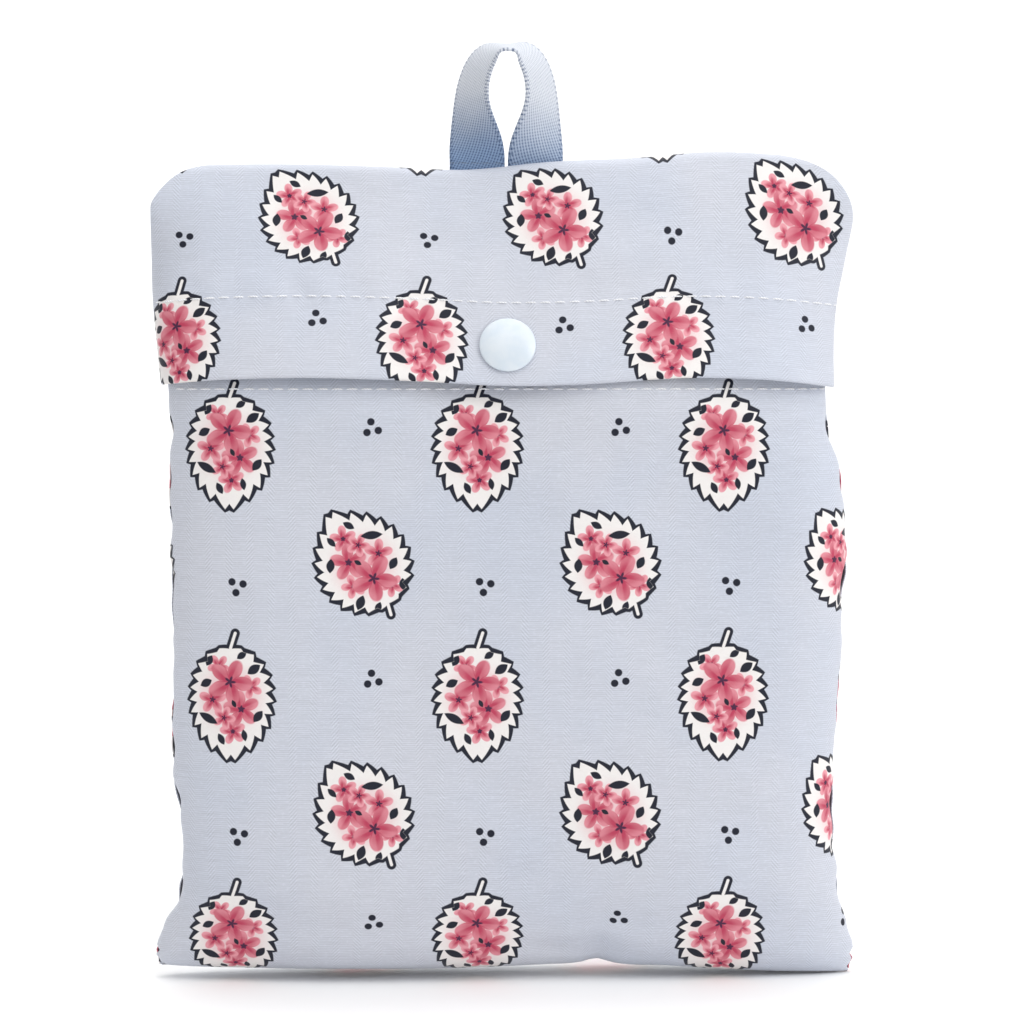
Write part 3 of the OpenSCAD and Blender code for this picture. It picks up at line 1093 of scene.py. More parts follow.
@dataclass(frozen=True)
class Webbing(Finish):
    """Blue twill webbing, deeper near its sewn-in ends and paler along its run: partly its own colour,
    partly painted shade.
    """

    name: str = "blue_twill_webbing"
    width: float = 15.0
    deep: Colour = colour(124, 148, 182)
    pale: Colour = colour(212, 216, 224)
    dark: Colour = colour(66, 86, 120)
    deep_end: float = 8.0
    pale_from: float = 30.0
    cord: float = 1.05

    def make(self) -> bpy.types.Material:
        """Makes the material: slanted cords that weft threads break up, and a dotted line at each edge."""
        g = Graph(self.name)
        place = g.cloth_place()
        u, v = g.parts(place)
        full = 2.0 * math.pi
        slant = ((u * 1.25 + v * 0.62) * (full / self.cord)).sin()
        weft = ((v * 1.45 - u * 0.35) * (full / self.cord)).sin()
        knots = slant * 0.62 + weft * 0.38
        rim = abs(u).ramp(self.width / 2 - 1.5, self.width / 2 - 0.9)
        beads = (v * (full / 1.1)).sin().ramp(-0.1, 0.5) * rim
        fuzz = g.noise(place, 1.4, 3.0)
        # Share towards the pale colour along the run. It is deep at the sewn-in ends, partly as the
        # webbing's own colour and partly as painted shade, and the darker cord gaps deepen with it.
        toward_pale = (g.noise(place, 0.10, 2.0) * 5.0 + v).ramp(self.deep_end, self.pale_from)
        tone = g.mix(toward_pale, self.deep, self.pale)
        gaps = (1.0 - knots.ramp(-0.8, 0.35)) * (0.85 - toward_pale * 0.50) + beads * 0.45 + (fuzz - 0.5) * 0.25
        shown = g.mix(gaps.most(0.0), tone, self.dark)
        sockets = {
            "Base Color": shown,
            "Roughness": 0.66 - knots * 0.06,
            "Normal": g.raised(knots * 0.4 + fuzz * 0.2 + 0.4, 0.8, 0.18),
            "Specular IOR Level": 0.35,
            "Sheen Weight": 0.2,
            "Sheen Roughness": 0.45,
        }
        return g.surface(sockets)


@dataclass(frozen=True)
class Thread(Finish):
    """White polyester sewing thread of two twisted plies."""

    name: str = "white_thread"
    tone: Colour = colour(246, 246, 247)
    low: Colour = colour(205, 209, 218)
    twist: float = 0.75

    def make(self) -> bpy.types.Material:
        """Makes the material: a slanted wave along the thread for its plies, and fine fuzz."""
        g = Graph(self.name)
        place = g.cloth_place()
        u, v = g.parts(place)
        ply = ((u + v * 1.3) * (2.0 * math.pi / self.twist)).sin()
        fuzz = g.noise(place, 4.0, 2.0)
        sockets = {
            "Base Color": g.mix((ply.ramp(-1.0, -0.2) * 0.8 + fuzz * 0.3), self.low, self.tone),
            "Roughness": 0.52 + fuzz * 0.2,
            "Normal": g.raised(ply * 0.5 + 0.5, 0.5, 0.08),
            "Sheen Weight": 0.2,
        }
        return g.surface(sockets)


@dataclass(frozen=True)
class SnapPlastic(Finish):
    """Smooth very pale blue moulded plastic with a soft gloss."""

    name: str = "pale_snap_plastic"
    tone: Colour = colour(208, 219, 229)
    toward_pale: Colour = colour(217, 225, 232)

    def make(self) -> bpy.types.Material:
        """Makes the material: faint cloudiness, a slight orange-peel surface and fine handling marks."""
        g = Graph(self.name)
        place = g.object_place()
        cloud = g.noise(place, 0.25, 3.0)
        peel = g.noise(place, 1.6, 2.0)
        marks = g.noise(place, 6.0, 4.0).ramp(0.58, 0.74)
        sockets = {
            "Base Color": g.mix(cloud.ramp(0.3, 0.7), self.tone, self.toward_pale),
            "Roughness": 0.30 + marks * 0.12 + cloud * 0.06,
            "Normal": g.raised(peel, 0.10, 0.05),
            "Coat Weight": 0.25 - marks * 0.15,
            "Coat Roughness": 0.18,
        }
        return g.surface(sockets)


@dataclass(frozen=True)
class LabelTape(Finish):
    """Blank white satin tape."""

    name: str = "white_label_tape"
    tone: Colour = colour(247, 247, 245)
    low: Colour = colour(226, 228, 231)

    def make(self) -> bpy.types.Material:
        """Makes the material: fine satin threads along the tape and a slightly darker woven edge."""
        g = Graph(self.name)
        place = g.cloth_place()
        u, v = g.parts(place)
        thread = (u * (2.0 * math.pi / 0.42)).sin() * 0.5 + (v * (2.0 * math.pi / 0.6)).sin() * 0.3
        cloud = g.noise(place, 0.2, 2.0)
        sockets = {
            "Base Color": g.mix(thread.ramp(-0.6, 0.5) * 0.7 + cloud * 0.3, self.low, self.tone),
            "Roughness": 0.42 + cloud * 0.1,
            "Normal": g.raised(thread * 0.5 + 0.5, 0.35, 0.06),
            "Sheen Weight": 0.15,
        }
        return g.surface(sockets)


CLOTH = PrintCloth()
WRONG_SIDE = PrintCloth(name="printed_ripstop_wrong_side", ink_share=0.42)
WEBBING = Webbing()
STRAP = Webbing(name="blue_strap_webbing", width=25.0, deep_end=-300.0, pale_from=1500.0)
THREAD = Thread()
SNAP = SnapPlastic()
LABEL = LabelTape()


# ---------------------------------------------------------------------------------------------
# The bag
# ---------------------------------------------------------------------------------------------


def settle(made: bpy.types.Object, body: Body, slot: Slot, *nodes: str) -> bpy.types.Object:
    """Puts a piece on its body.

    Args:
        made: the piece.
        body: the body it rides on.
        slot: the record's slot for its finish; not used.
        nodes: CAD nodes that it stands for.

    Returns:
        The piece.
    """
    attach(made, body.value)
    if nodes:
        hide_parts(*nodes)
    log.info("%s rides on %s, %d faces", made.name, body.value, len(made.data.polygons))
    return made


def corner(node: str, high: bool) -> Array:
    """A node's lowest or highest corner, in millimetres."""
    return np.array(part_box(node)[1 if high else 0]) / MM


@dataclass
class Outline:
    """How far the pouch and its flap reach to each side at a height, in millimetres.

    The right side is squarer at its shoulder and pinched under the flap; the left one is nearly straight.
    """

    pouch_left: Knots = (
        (0, 92.6), (5, 94.4), (12, 92.6), (22, 88.4), (60, 89.4), (115, 89.4), (150, 90.0), (195, 92.6),
        (217, 91.0),
    )  # fmt: skip
    pouch_right: Knots = (
        (0, 93.0), (4, 94.2), (13, 92.2), (24, 90.2), (90, 90.5), (128, 91.2), (140, 89.4), (147, 87.2),
        (158, 86.2), (183, 87.2), (205, 91.2), (217, 90.0),
    )  # fmt: skip
    flap_left: Knots = ((158, 92.2), (170, 93.6), (185, 95.2), (208, 95.5), (222, 95.0))
    flap_right: Knots = ((158, 88.6), (172, 88.8), (183, 90.0), (195, 92.8), (206, 94.6), (222, 94.8))
    left_round: float = 11.0
    right_round: float = 17.0
    left_square: float = 1.35
    right_square: float = 2.0
    crest: Knots = (
        (-95, -0.8), (-60, -0.2), (-28, -1.0), (-12, -1.6), (12, 0.6), (36, 1.8), (56, 3.4), (75, 2.6),
        (95, 0.0),
    )  # fmt: skip

    def cut(self, z: Array, top: float, reach: float, square: float) -> Array:
        """Width that a rounded upper corner takes off.

        Args:
            z: heights.
            top: height of the fold.
            reach: size of the corner.
            square: power of its curve; 2 makes it round and less makes it a bevel.

        Returns:
            The reach less the reach times the root of 1 less the powered share of the climb.
        """
        k = np.clip((z - (top - reach)) / reach, 0.0, 1.0)
        return reach * (1.0 - (1.0 - k**square) ** (1.0 / square))

    def sides(self, z: Array, top: float, flap: bool) -> tuple[Array, Array]:
        """Left and right edge at each height.

        Args:
            z: heights.
            top: height of the fold.
            flap: the flap's own edges, and not the pouch's.

        Returns:
            X of the left edge and of the right edge.
        """
        left = through(self.flap_left if flap else self.pouch_left, z)
        right = through(self.flap_right if flap else self.pouch_right, z)
        left = left - self.cut(z, top, self.left_round, self.left_square)
        right = right - self.cut(z, top, self.right_round, self.right_square)
        return -left, right


@dataclass
class Shape:
    """Sizes that the pouch, the flap and the tote share, in millimetres, read from the frame."""

    outline: Outline = field(default_factory=Outline)
    lean: float = math.radians(21.0)
    fold_reach: float = 3.5
    snap_room: float = 5.0
    snap_z: float = 170.6
    seam_low: float = -1.0
    square: float = 8.0
    mouth: float = field(init=False)
    front: float = field(init=False)
    back: float = field(init=False)
    back_top: float = field(init=False)
    top: float = field(init=False)
    fold_y: float = field(init=False)
    fold_z: float = field(init=False)
    flap_low: float = field(init=False)
    hem: float = field(init=False)
    seam_high: float = field(init=False)

    def __post_init__(self) -> None:
        """Reads the frame."""
        self.mouth = corner("pouch_front_panel", True)[2]
        self.front = -corner("pouch_front_panel", False)[1]
        self.back = corner("pouch_back_panel", True)[1]
        self.back_top = corner("pouch_back_panel", True)[2]
        self.top = corner("flap_panel", True)[2]
        self.fold_y = self.back - self.fold_reach
        self.fold_z = self.top - self.fold_reach
        self.flap_low = corner("front_hem_thread", False)[2] + 1.7
        self.hem = self.mouth - corner("front_mouth_hem", False)[2]
        self.seam_high = self.back - 1.5

    def flap_face(self, z: Array) -> Array:
        """Depth of the flap's outer face: a straight slope from the fold."""
        start_y = self.fold_y - self.fold_reach * math.cos(self.lean)
        start_z = self.fold_z + self.fold_reach * math.sin(self.lean)
        return start_y - (start_z - z) * math.tan(self.lean)

    def seam(self, z: Array) -> Array:
        """Depth of the side seams: it moves to the back under the flap."""
        return lerp(self.seam_low, self.seam_high, ease(self.flap_low - 10, self.fold_z - 2, z))

    def seam_at(self, z: Array, left: Array | bool) -> Array:
        """Depth of one side's seam; the left one lies further forward below the flap."""
        return self.seam(z) - 3.2 * np.asarray(left) * (1 - ease(140, 175, z)) * ease(8, 40, z)

    def front_face(self, z: Array) -> Array:
        """Depth of the front: full, and turned in under the flap by a rounded greater-of."""
        full = -lerp(self.front - 1.6, self.front, ease(6.0, 26.0, z))
        tucked = self.flap_face(z) + self.snap_room
        return (full + tucked + np.sqrt((full - tucked) ** 2 + 2.2)) / 2

    def bulge(self, u: Array, power: Array | float) -> Array:
        """Cross section of a filled side: the root of 1 less the powered distance from the middle."""
        return np.sqrt(np.clip(1.0 - np.abs(u) ** power, 0.0, 1.0))


def columns(count: int) -> Array:
    """Places across a panel from -1 to 1, closer together at its edges: the sine of even angles."""
    return np.sin(np.linspace(-math.pi / 2, math.pi / 2, count))


@dataclass
class Pouch:
    """The pouch: one strip of cloth that runs from its mouth down the front and up the back."""

    shape: Shape
    step: float = 1.55
    across: int = 131
    cloth: float = 0.35
    motif_x: float = -8.1
    motif_z: float = 142.6
    hem_row: float = 0.0
    low_z: float = 13.0
    low_power: float = 0.72
    fill: float = 0.6
    broad: tuple[Ripple, ...] = (Ripple(80.0, 4, 0.7), Ripple(30.0, 11, 0.3, 1.4))
    pucker: Ripple = Ripple(15.0, 23, 1.0)
    gather: Ripple = Ripple(7.0, 31, 0.35)
    puff: Bell = Bell(84.0, 130.0, 16.0, 15.0, 1.2)
    low_fold: Bell = Bell(14.0, 4.5, 13.0, 2.4, 1.3)
    low_peak: float = 24.5
    low_slope: float = 0.10
    crease_z: float = 147.0
    crease_slope: float = 0.12
    crease_deep: float = 1.7
    flap_room: float = 2.5
    lift: Knots = (
        (-95, 2.4), (-80, 3.0), (-45, 3.2), (-12, 3.4), (10, 4.4), (20, 5.2), (24.5, 6.6), (28, 5.2),
        (44, 3.6), (70, 1.2), (92, 0.0),
    )  # fmt: skip

    def profile(self) -> Array:
        """The strip's line at mid width.

        Returns:
            Y, Z and side of each point. The side runs from 0 at the front to 1 at the back. The line climbs
            inside the hem, folds over the mouth, goes down the front, round the bottom on a squared
            half circle and up the back.
        """
        s = self.shape
        gap = 0.9
        z_in = np.linspace(s.mouth - s.hem, s.mouth - 0.5, 20)
        inner = np.stack([s.front_face(z_in) + gap, z_in, 0 * z_in], axis=1)
        z_out = np.linspace(s.mouth - 0.5, self.low_z, 120)
        outer = np.stack([s.front_face(z_out), z_out, 0 * z_out], axis=1)
        t = np.linspace(math.pi, 2 * math.pi, 60)[1:-1]
        front_y, back_y = float(s.front_face(np.array(self.low_z))), s.back - gap
        middle, half = (front_y + back_y) / 2, (back_y - front_y) / 2
        low_y = middle + half * squared(np.cos(t), self.low_power)
        low_z = self.low_z + self.low_z * squared(np.sin(t), self.low_power)
        low = np.stack([low_y, low_z, (1 + np.cos(t)) / 2], axis=1)
        z_back = np.linspace(self.low_z, s.back_top, 120)
        rear = np.stack([s.back - gap * (1 - ease(self.low_z, 40, z_back)), z_back, 0 * z_back + 1], axis=1)
        return np.concatenate([inner, outer, low, rear])

    def patch(self) -> Patch:
        """The strip's grid.

        Returns:
            Each row blends from the seam line at its two ends to the profile at its middle. Rows are
            narrower inside the hem, and bottom corners are pinched into ears.
        """
        s = self.shape
        line, run = resample(self.profile(), self.step)
        y, z, side = line[:, 0:1], line[:, 1:2], line[:, 2:3]
        u = columns(self.across)[None, :]
        inside = ease(s.hem + 0.2, s.hem - 1.0, run)[:, None]
        low = 2.6 - 2.2 * ease(-0.2, 0.9, u)
        seam_z = (z + low + np.sqrt((z - low) ** 2 + 2.0)) / 2 - 0.6 * (1 - ease(0, 30, z))
        left, right = s.outline.sides(seam_z, s.top, flap=False)
        left, right = left + inside * 1.2, right - inside * 1.2
        x = lerp(left, right, (u + 1) / 2)
        power = lerp(3.4, s.square, ease(2.0, 34.0, z))
        full = s.bulge(u, power)
        crown = 1.0 - 0.10 * np.abs(u) ** 3
        seam_y = s.seam_at(z, u < 0)
        py = seam_y + (y - seam_y) * full * crown
        pz = seam_z + (z - seam_z) * full
        points = np.stack([x + 0 * py, py, pz + 0 * py], axis=-1)
        points = self.settle_cloth(points, u, side)
        front = (run > 1.2 * s.hem) & (side[:, 0] < 0.3)
        start = float(np.interp(-self.motif_z, -z[front, 0], run[front]))
        across = flat_across(points, self.motif_x)
        uv = np.stack(np.broadcast_arrays(across, start - run[:, None]), axis=-1)
        self.hem_row = float(np.interp(s.hem - s.mouth, -z[front, 0], np.flatnonzero(front)))
        return Patch(points, uv)

    def settle_cloth(self, points: Array, u: Array, side: Array) -> Array:
        """Adds the sag and the soft folds of real cloth.

        Args:
            points: the smooth grid.
            u: place across, from -1 to 1.
            side: 0 at the front and 1 at the back.

        Returns:
            The grid with its bottom edge lifted, its top raised to the crest, broad soft folds in its
            depth, puckers beside its seams and a crease under the flap.
        """
        s = self.shape
        x, y, z = np.moveaxis(points, -1, 0)
        lift = through(self.lift, x) * (1 - ease(0, 30, z)) * (1 - 0.65 * side)
        crest = through(s.outline.crest, x) * ease(186, 214, z) * side
        way = np.where(side > 0.5, 1.0, -1.0) * np.minimum(1.0, np.abs(2 * side - 1) * 1.4)
        middle = (1 - np.abs(u) ** 6) * (1 - 0.8 * ease(160, 178, z) * (1 - side))
        broad = sum(ripple.at(x, z) for ripple in self.broad) + self.fill
        near_edge = np.exp(-(1 - np.abs(u)) * 16.0)
        pucker = self.pucker.at(x * 0.4, z + side * 300) * near_edge
        pucker += self.gather.at(x * 0.3, z + side * 90) * near_edge**1.5
        crease = bump_at(z - (x - 80) * self.crease_slope, self.crease_z, 3.2) * ease(48, 86, x)
        low_fold = self.low_fold.at(x, z - (self.low_peak - x) * self.low_slope) * (1 - side)
        puff = self.puff.at(x, z) * (1 - side)
        crease *= self.crease_deep * (1 - side)
        near_flap = ease(138, 158, z) * (1 - bump_at(x, 0, 24)) * (1 - np.abs(u) ** 8) * (1 - side)
        near_flap *= self.flap_room
        depth = (broad * middle * 0.8 + puff - crease - low_fold + near_flap) * way
        edge_x = np.sign(u) * pucker * 0.55
        return np.stack([x + edge_x, y + depth + pucker * 0.5, z + lift + crest], axis=-1)

    def build(self) -> None:
        """Builds the pouch's cloth and the stitches of its mouth hem."""
        patch = self.patch()
        cloth = patch.build("pouch_cloth", CLOTH, self.cloth, WRONG_SIDE)
        nodes = ("pouch_front_panel", "pouch_back_panel", "pouch_bottom_fold", "front_mouth_hem")
        settle(cloth, Body.POUCH, Slot.CLOTH, *nodes)
        length = float(patch.uv[0, 0, 1] - patch.uv[-1, 0, 1]) * MM
        hem = Seam().along_row("mouth_hem_stitches", patch, self.hem_row, [(-88.0, 88.0)], THREAD)
        settle(hem, Body.POUCH, Slot.THREAD, "front_hem_thread")


@dataclass
class Flap:
    """The snap flap: it is sewn on at the back, folds over the top and ends in a turned hem."""

    shape: Shape
    step: float = 1.05
    across: int = 171
    cloth: float = 0.35
    lap: float = 6.0
    motif_x: float = -22.7
    motif_z: float = 170.4
    broad: tuple[Ripple, ...] = (Ripple(70.0, 8, 0.5), Ripple(30.0, 5, 0.18, 1.5))
    pucker: Ripple = Ripple(12.0, 17, 0.22, 0.3)
    swells: tuple[Point, ...] = ((48.0, 34.0, 0.9), (-52.0, 30.0, 0.5))
    hinge_end_y: float = 10.4
    sag: Knots = (
        (-95, -0.6), (-82, 0.6), (-56, 1.5), (-25, 0.7), (0, -0.6), (20, -0.2), (48, 1.5), (74, 0.5),
        (84, -0.6), (95, -1.8),
    )  # fmt: skip

    def profile(self) -> Array:
        """The flap's line at mid width.

        Returns:
            Y, Z, level and share of hem of each point. The line starts in the lap on the back, goes over
            the fold on an arc, down the slope, round the hem's edge and up inside.
        """
        s = self.shape
        z_lap = np.linspace(s.back_top - self.lap, s.fold_z, 8)[:-1]
        y_lap = s.back + 0.45 - 0.45 * ease(s.back_top - 1, s.fold_z, z_lap)
        lap = np.stack([y_lap, z_lap, z_lap, 0 * z_lap], axis=1)
        turned = arc((s.fold_y, s.fold_z), s.fold_reach, 0.0, 180.0 - math.degrees(s.lean), 24)
        over = np.concatenate([turned, turned[:, 1:2], 0 * turned[:, 1:2]], axis=1)
        z_out = np.linspace(turned[-1, 1], s.flap_low, 70)[1:]
        slope = np.stack([s.flap_face(z_out), z_out, z_out, 0 * z_out], axis=1)
        z_in = np.linspace(s.flap_low + 0.2, s.flap_low + s.hem, 26)
        gap = 0.95
        y_in = s.flap_face(z_in) + gap / math.cos(s.lean)
        back_in = np.stack([y_in, z_in, z_in, 0 * z_in + 1], axis=1)
        return np.concatenate([lap, over, slope, back_in])

    def patch(self) -> Patch:
        """The flap's grid.

        Returns:
            Each row blends from its two ends, which lie back against the side seams below the fold, to the
            profile at its middle.
        """
        s = self.shape
        line, run = resample(self.profile(), self.step)
        y, z, level, hem = (line[:, k : k + 1] for k in range(4))
        u = columns(self.across)[None, :]
        on_slope = ease(0.0, 4.0, s.fold_y - y)
        left, right = s.outline.sides(level, s.top, flap=True)
        lap_left, lap_right = s.outline.sides(level, s.top, flap=False)
        left, right = lerp(lap_left, left, on_slope) + hem, lerp(lap_right, right, on_slope) - hem
        x = lerp(left, right, (u + 1) / 2)
        hug = (1 - ease(s.fold_z - 24, s.fold_z - 2, level)) * on_slope
        end_y = np.minimum(s.seam(level) - 0.6, 10.0)
        full = s.bulge(u, 7.0)
        py = lerp(y, end_y + (y - end_y) * full, hug)
        points = np.stack([x + 0 * py, py, z + 0 * py], axis=-1)
        points = self.settle_cloth(points, u, level, hem, on_slope)
        front = (hem[:, 0] < 0.5) & (on_slope[:, 0] > 0.5)
        start = float(np.interp(-self.motif_z, -z[front, 0], run[front]))
        across = flat_across(points, self.motif_x)
        uv = np.stack(np.broadcast_arrays(across, start - run[:, None]), axis=-1)
        return Patch(points, uv)

    def settle_cloth(self, points: Array, u: Array, level: Array, hem: Array, on_slope: Array) -> Array:
        """Adds the sag and the soft folds of real cloth.

        Args:
            points: the smooth grid.
            u: place across, from -1 to 1.
            level: height of each row.
            hem: 1 in the turned hem; not used.
            on_slope: 1 past the fold.

        Returns:
            The grid with its fold raised to the crest, its hem sagging at the snap and at its ends, and
            broad soft folds in its depth.
        """
        s = self.shape
        x, y, z = np.moveaxis(points, -1, 0)
        crest = through(s.outline.crest, x) * ease(190, 214, level)
        sag = through(self.sag, x) * (1 - ease(174, 205, level)) * on_slope
        calm = 1 - Bell(0.0, s.snap_z, 16.0, 14.0).at(x, z)
        middle = 1 - np.abs(u) ** 8
        broad = sum(ripple.at(x, z) for ripple in self.broad)
        pucker = self.pucker.at(x, z) * bump_at(z - sag, s.flap_low + s.hem, 4.5)
        swell = sum(bump_at(x, middle, reach) * high for middle, reach, high in self.swells)
        lower = 1 - ease(s.flap_low, s.flap_low + 30, level)
        depth = (broad * middle * calm + pucker + swell * lower) * on_slope
        return np.stack([x, y - depth, z + crest + sag], axis=-1)

    def build(self) -> None:
        """Builds the flap's cloth and its stitches."""
        s = self.shape
        patch = self.patch()
        cloth = patch.build("flap_cloth", CLOTH, self.cloth, WRONG_SIDE)
        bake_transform(cloth)
        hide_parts("flap_panel", "flap_hem")
        length = float(patch.uv[0, 0, 1] - patch.uv[-1, 0, 1]) * MM
        log.info("flap_cloth bends from the pouch to the flap, %d faces", len(cloth.data.polygons))
        run = -patch.uv[:, 0, 1] + patch.uv[0, 0, 1]
        hem_start = run[-1] - s.hem / math.cos(s.lean)
        hem_row = float(np.interp(hem_start - s.hem / math.cos(s.lean), run, np.arange(len(run))))
        hem = Seam().along_row("flap_hem_stitches", patch, hem_row, [(-95.0, 95.0)], THREAD)
        settle(hem, Body.FLAP, Slot.THREAD, "flap_hem_thread")
        lap_row = float(np.interp(2.2, run, np.arange(len(run))))
        lap = Seam().along_row("back_seam_stitches", patch, lap_row, [(-84.0, 82.0)], THREAD)
        settle(lap, Body.POUCH, Slot.THREAD, "back_seam_thread")
        self.bar_tacks(patch, run)

    def bar_tacks(self, patch: Patch, run: Array) -> None:
        """Sews the two bar tacks that hold the loop's ends in the fold.

        Args:
            patch: the flap's cloth.
            run: running length at each of its rows.
        """
        s = self.shape
        place = s.fold_z - (s.back_top - self.lap) + s.fold_reach * math.radians(30.0)
        row = float(np.interp(place, run, np.arange(len(run))))
        tack = Seam(pitch=0.62, length=2.4, thread=0.2, rings=6, crosswise=True)
        spans = [(-13.9, -1.9), (2.7, 14.7)]
        sewn = tack.along_row("loop_bar_tack_stitches", patch, row, spans, THREAD)
        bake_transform(sewn)
        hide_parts("loop_bar_tacks")
        log.info("%s bend with the fold, %d faces", sewn.name, len(sewn.data.polygons))


@dataclass
class Snap:
    """The snap: a domed cap on the flap over its socket, and a stud on the front with its post."""

    shape: Shape
    cap_reach: float = 7.5
    cap_height: float = 2.2
    rim: float = 0.45
    lift: float = 0.06
    dome_power: float = 2.3
    pole: float = 0.001

    def build(self) -> None:
        """Builds the cap with a rounded rim, and gives the CAD's snap pieces their finish."""
        s = self.shape
        out = (0.0, -math.cos(s.lean), math.sin(s.lean))
        foot = (0.0, float(s.flap_face(np.array(s.snap_z))), s.snap_z)
        round_rim = np.radians(np.linspace(-90.0, 60.0, 10))
        rim_x = self.cap_reach - self.rim + self.rim * np.cos(round_rim)
        rim_z = self.lift + self.rim + self.rim * np.sin(round_rim)
        climb = np.linspace(0.0, 1.0, 26)[1:]
        dome_x = rim_x[-1] * (1 - climb)
        dome_z = rim_z[-1] + (self.cap_height - rim_z[-1]) * (1 - (dome_x / rim_x[-1]) ** self.dome_power)
        x = np.concatenate([[0.0], rim_x, dome_x])
        z = np.concatenate([[self.lift], rim_z, dome_z])
        profile = np.stack([np.maximum(x, self.pole), z], axis=1)
        cap = lathe("snap_cap_dome", profile, out, foot, SNAP)
        settle(cap, Body.FLAP, Slot.SNAP, "snap_cap")
        for node in ("snap_socket", "snap_stud", "snap_post"):
            bpy.data.objects[node].data.materials.clear()
            bpy.data.objects[node].data.materials.append(SNAP.material())


@dataclass
class HangLoop:
    """The webbing loop: one band whose ends are sewn side by side into the fold."""

    shape: Shape
    width: float = 15.0
    thickness: float = 1.15
    hole: float = 5.3
    widest: float = 0.57
    lean: float = 1.9
    strands_gap: float = 0.4
    tail: float = 5.0
    middle_x: float = 0.4
    hole_drop: float = 2.9
    climb_power: float = 1.6
    opening_power: float = 1.25
    arch_power: float = 0.72
    left_power: float = 0.56
    right_power: float = 0.46
    # Share by which the webbing's flat places run back past the loop's middle. This gives both sewn-in ends
    # the deep colour, which is partly painted shade.
    turned: float = 1.84

    def path(self) -> tuple[Array, Array]:
        """The band's middle line and width directions.

        Returns:
            Points and unit directions. The inner edge draws the front of a drop-shaped hole and the outer
            edge its back, so the band lies flat to the front where it is sewn and edge-on at its top.
        """
        s = self.shape
        top = corner("hang_loop", True)[2]
        base = s.top + 0.4
        y0 = s.fold_y + s.fold_reach * math.cos(math.radians(70.0))
        a = np.pi / 2 * (1 - np.cos(np.linspace(0, math.pi, 121)))
        rise, spread, way = np.sin(a), np.abs(np.cos(a)), -np.sign(np.cos(a))
        climb = rise**self.climb_power
        opening = np.sin(math.pi / 2 * np.minimum(climb / self.widest, 1.0)) ** self.opening_power
        above = np.maximum(climb - self.widest, 0.0) / (1 - self.widest)
        arch = np.clip(1.0 - above**2, 0, 1) ** self.arch_power
        outer_power = np.where(way < 0, self.left_power, self.right_power)
        inner_x = way * (self.strands_gap * spread + self.hole * opening * arch)
        outer_x = way * (self.width + self.strands_gap) * spread**outer_power
        inner_z = base + (top - self.hole_drop - base) * climb
        outer_z = base + (top - base) * rise
        deep = np.sqrt(np.clip(self.width**2 - (outer_x - inner_x) ** 2 - (outer_z - inner_z) ** 2, 0, None))
        lean = y0 - self.lean * rise
        inner = np.stack([inner_x, lean - deep / 2, inner_z], axis=1)
        outer = np.stack([outer_x, lean + deep / 2, outer_z], axis=1)
        centre = (inner + outer) / 2
        across = outer - inner
        down = np.linspace(self.tail, 0.6, 7)[:, None] * np.array([[0.0, 0.0, -1.0]])
        centre = np.concatenate([centre[0] + down, centre, centre[-1] + down[::-1]])
        across = np.concatenate([np.repeat(across[:1], 7, 0), across, np.repeat(across[-1:], 7, 0)])
        across = across / np.linalg.norm(across, axis=1, keepdims=True)
        centre[:, 0] += self.middle_x
        return centre, across

    def build(self) -> None:
        """Builds the loop."""
        centre, across = self.path()
        path = (centre, across, self.width, self.thickness)
        made = band("hang_loop_webbing", *path, WEBBING, self.turned)
        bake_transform(made)
        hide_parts("hang_loop", "loop_sewn_ends")
        log.info("hang_loop_webbing bends from the flap to the loop, %d faces", len(made.data.polygons))


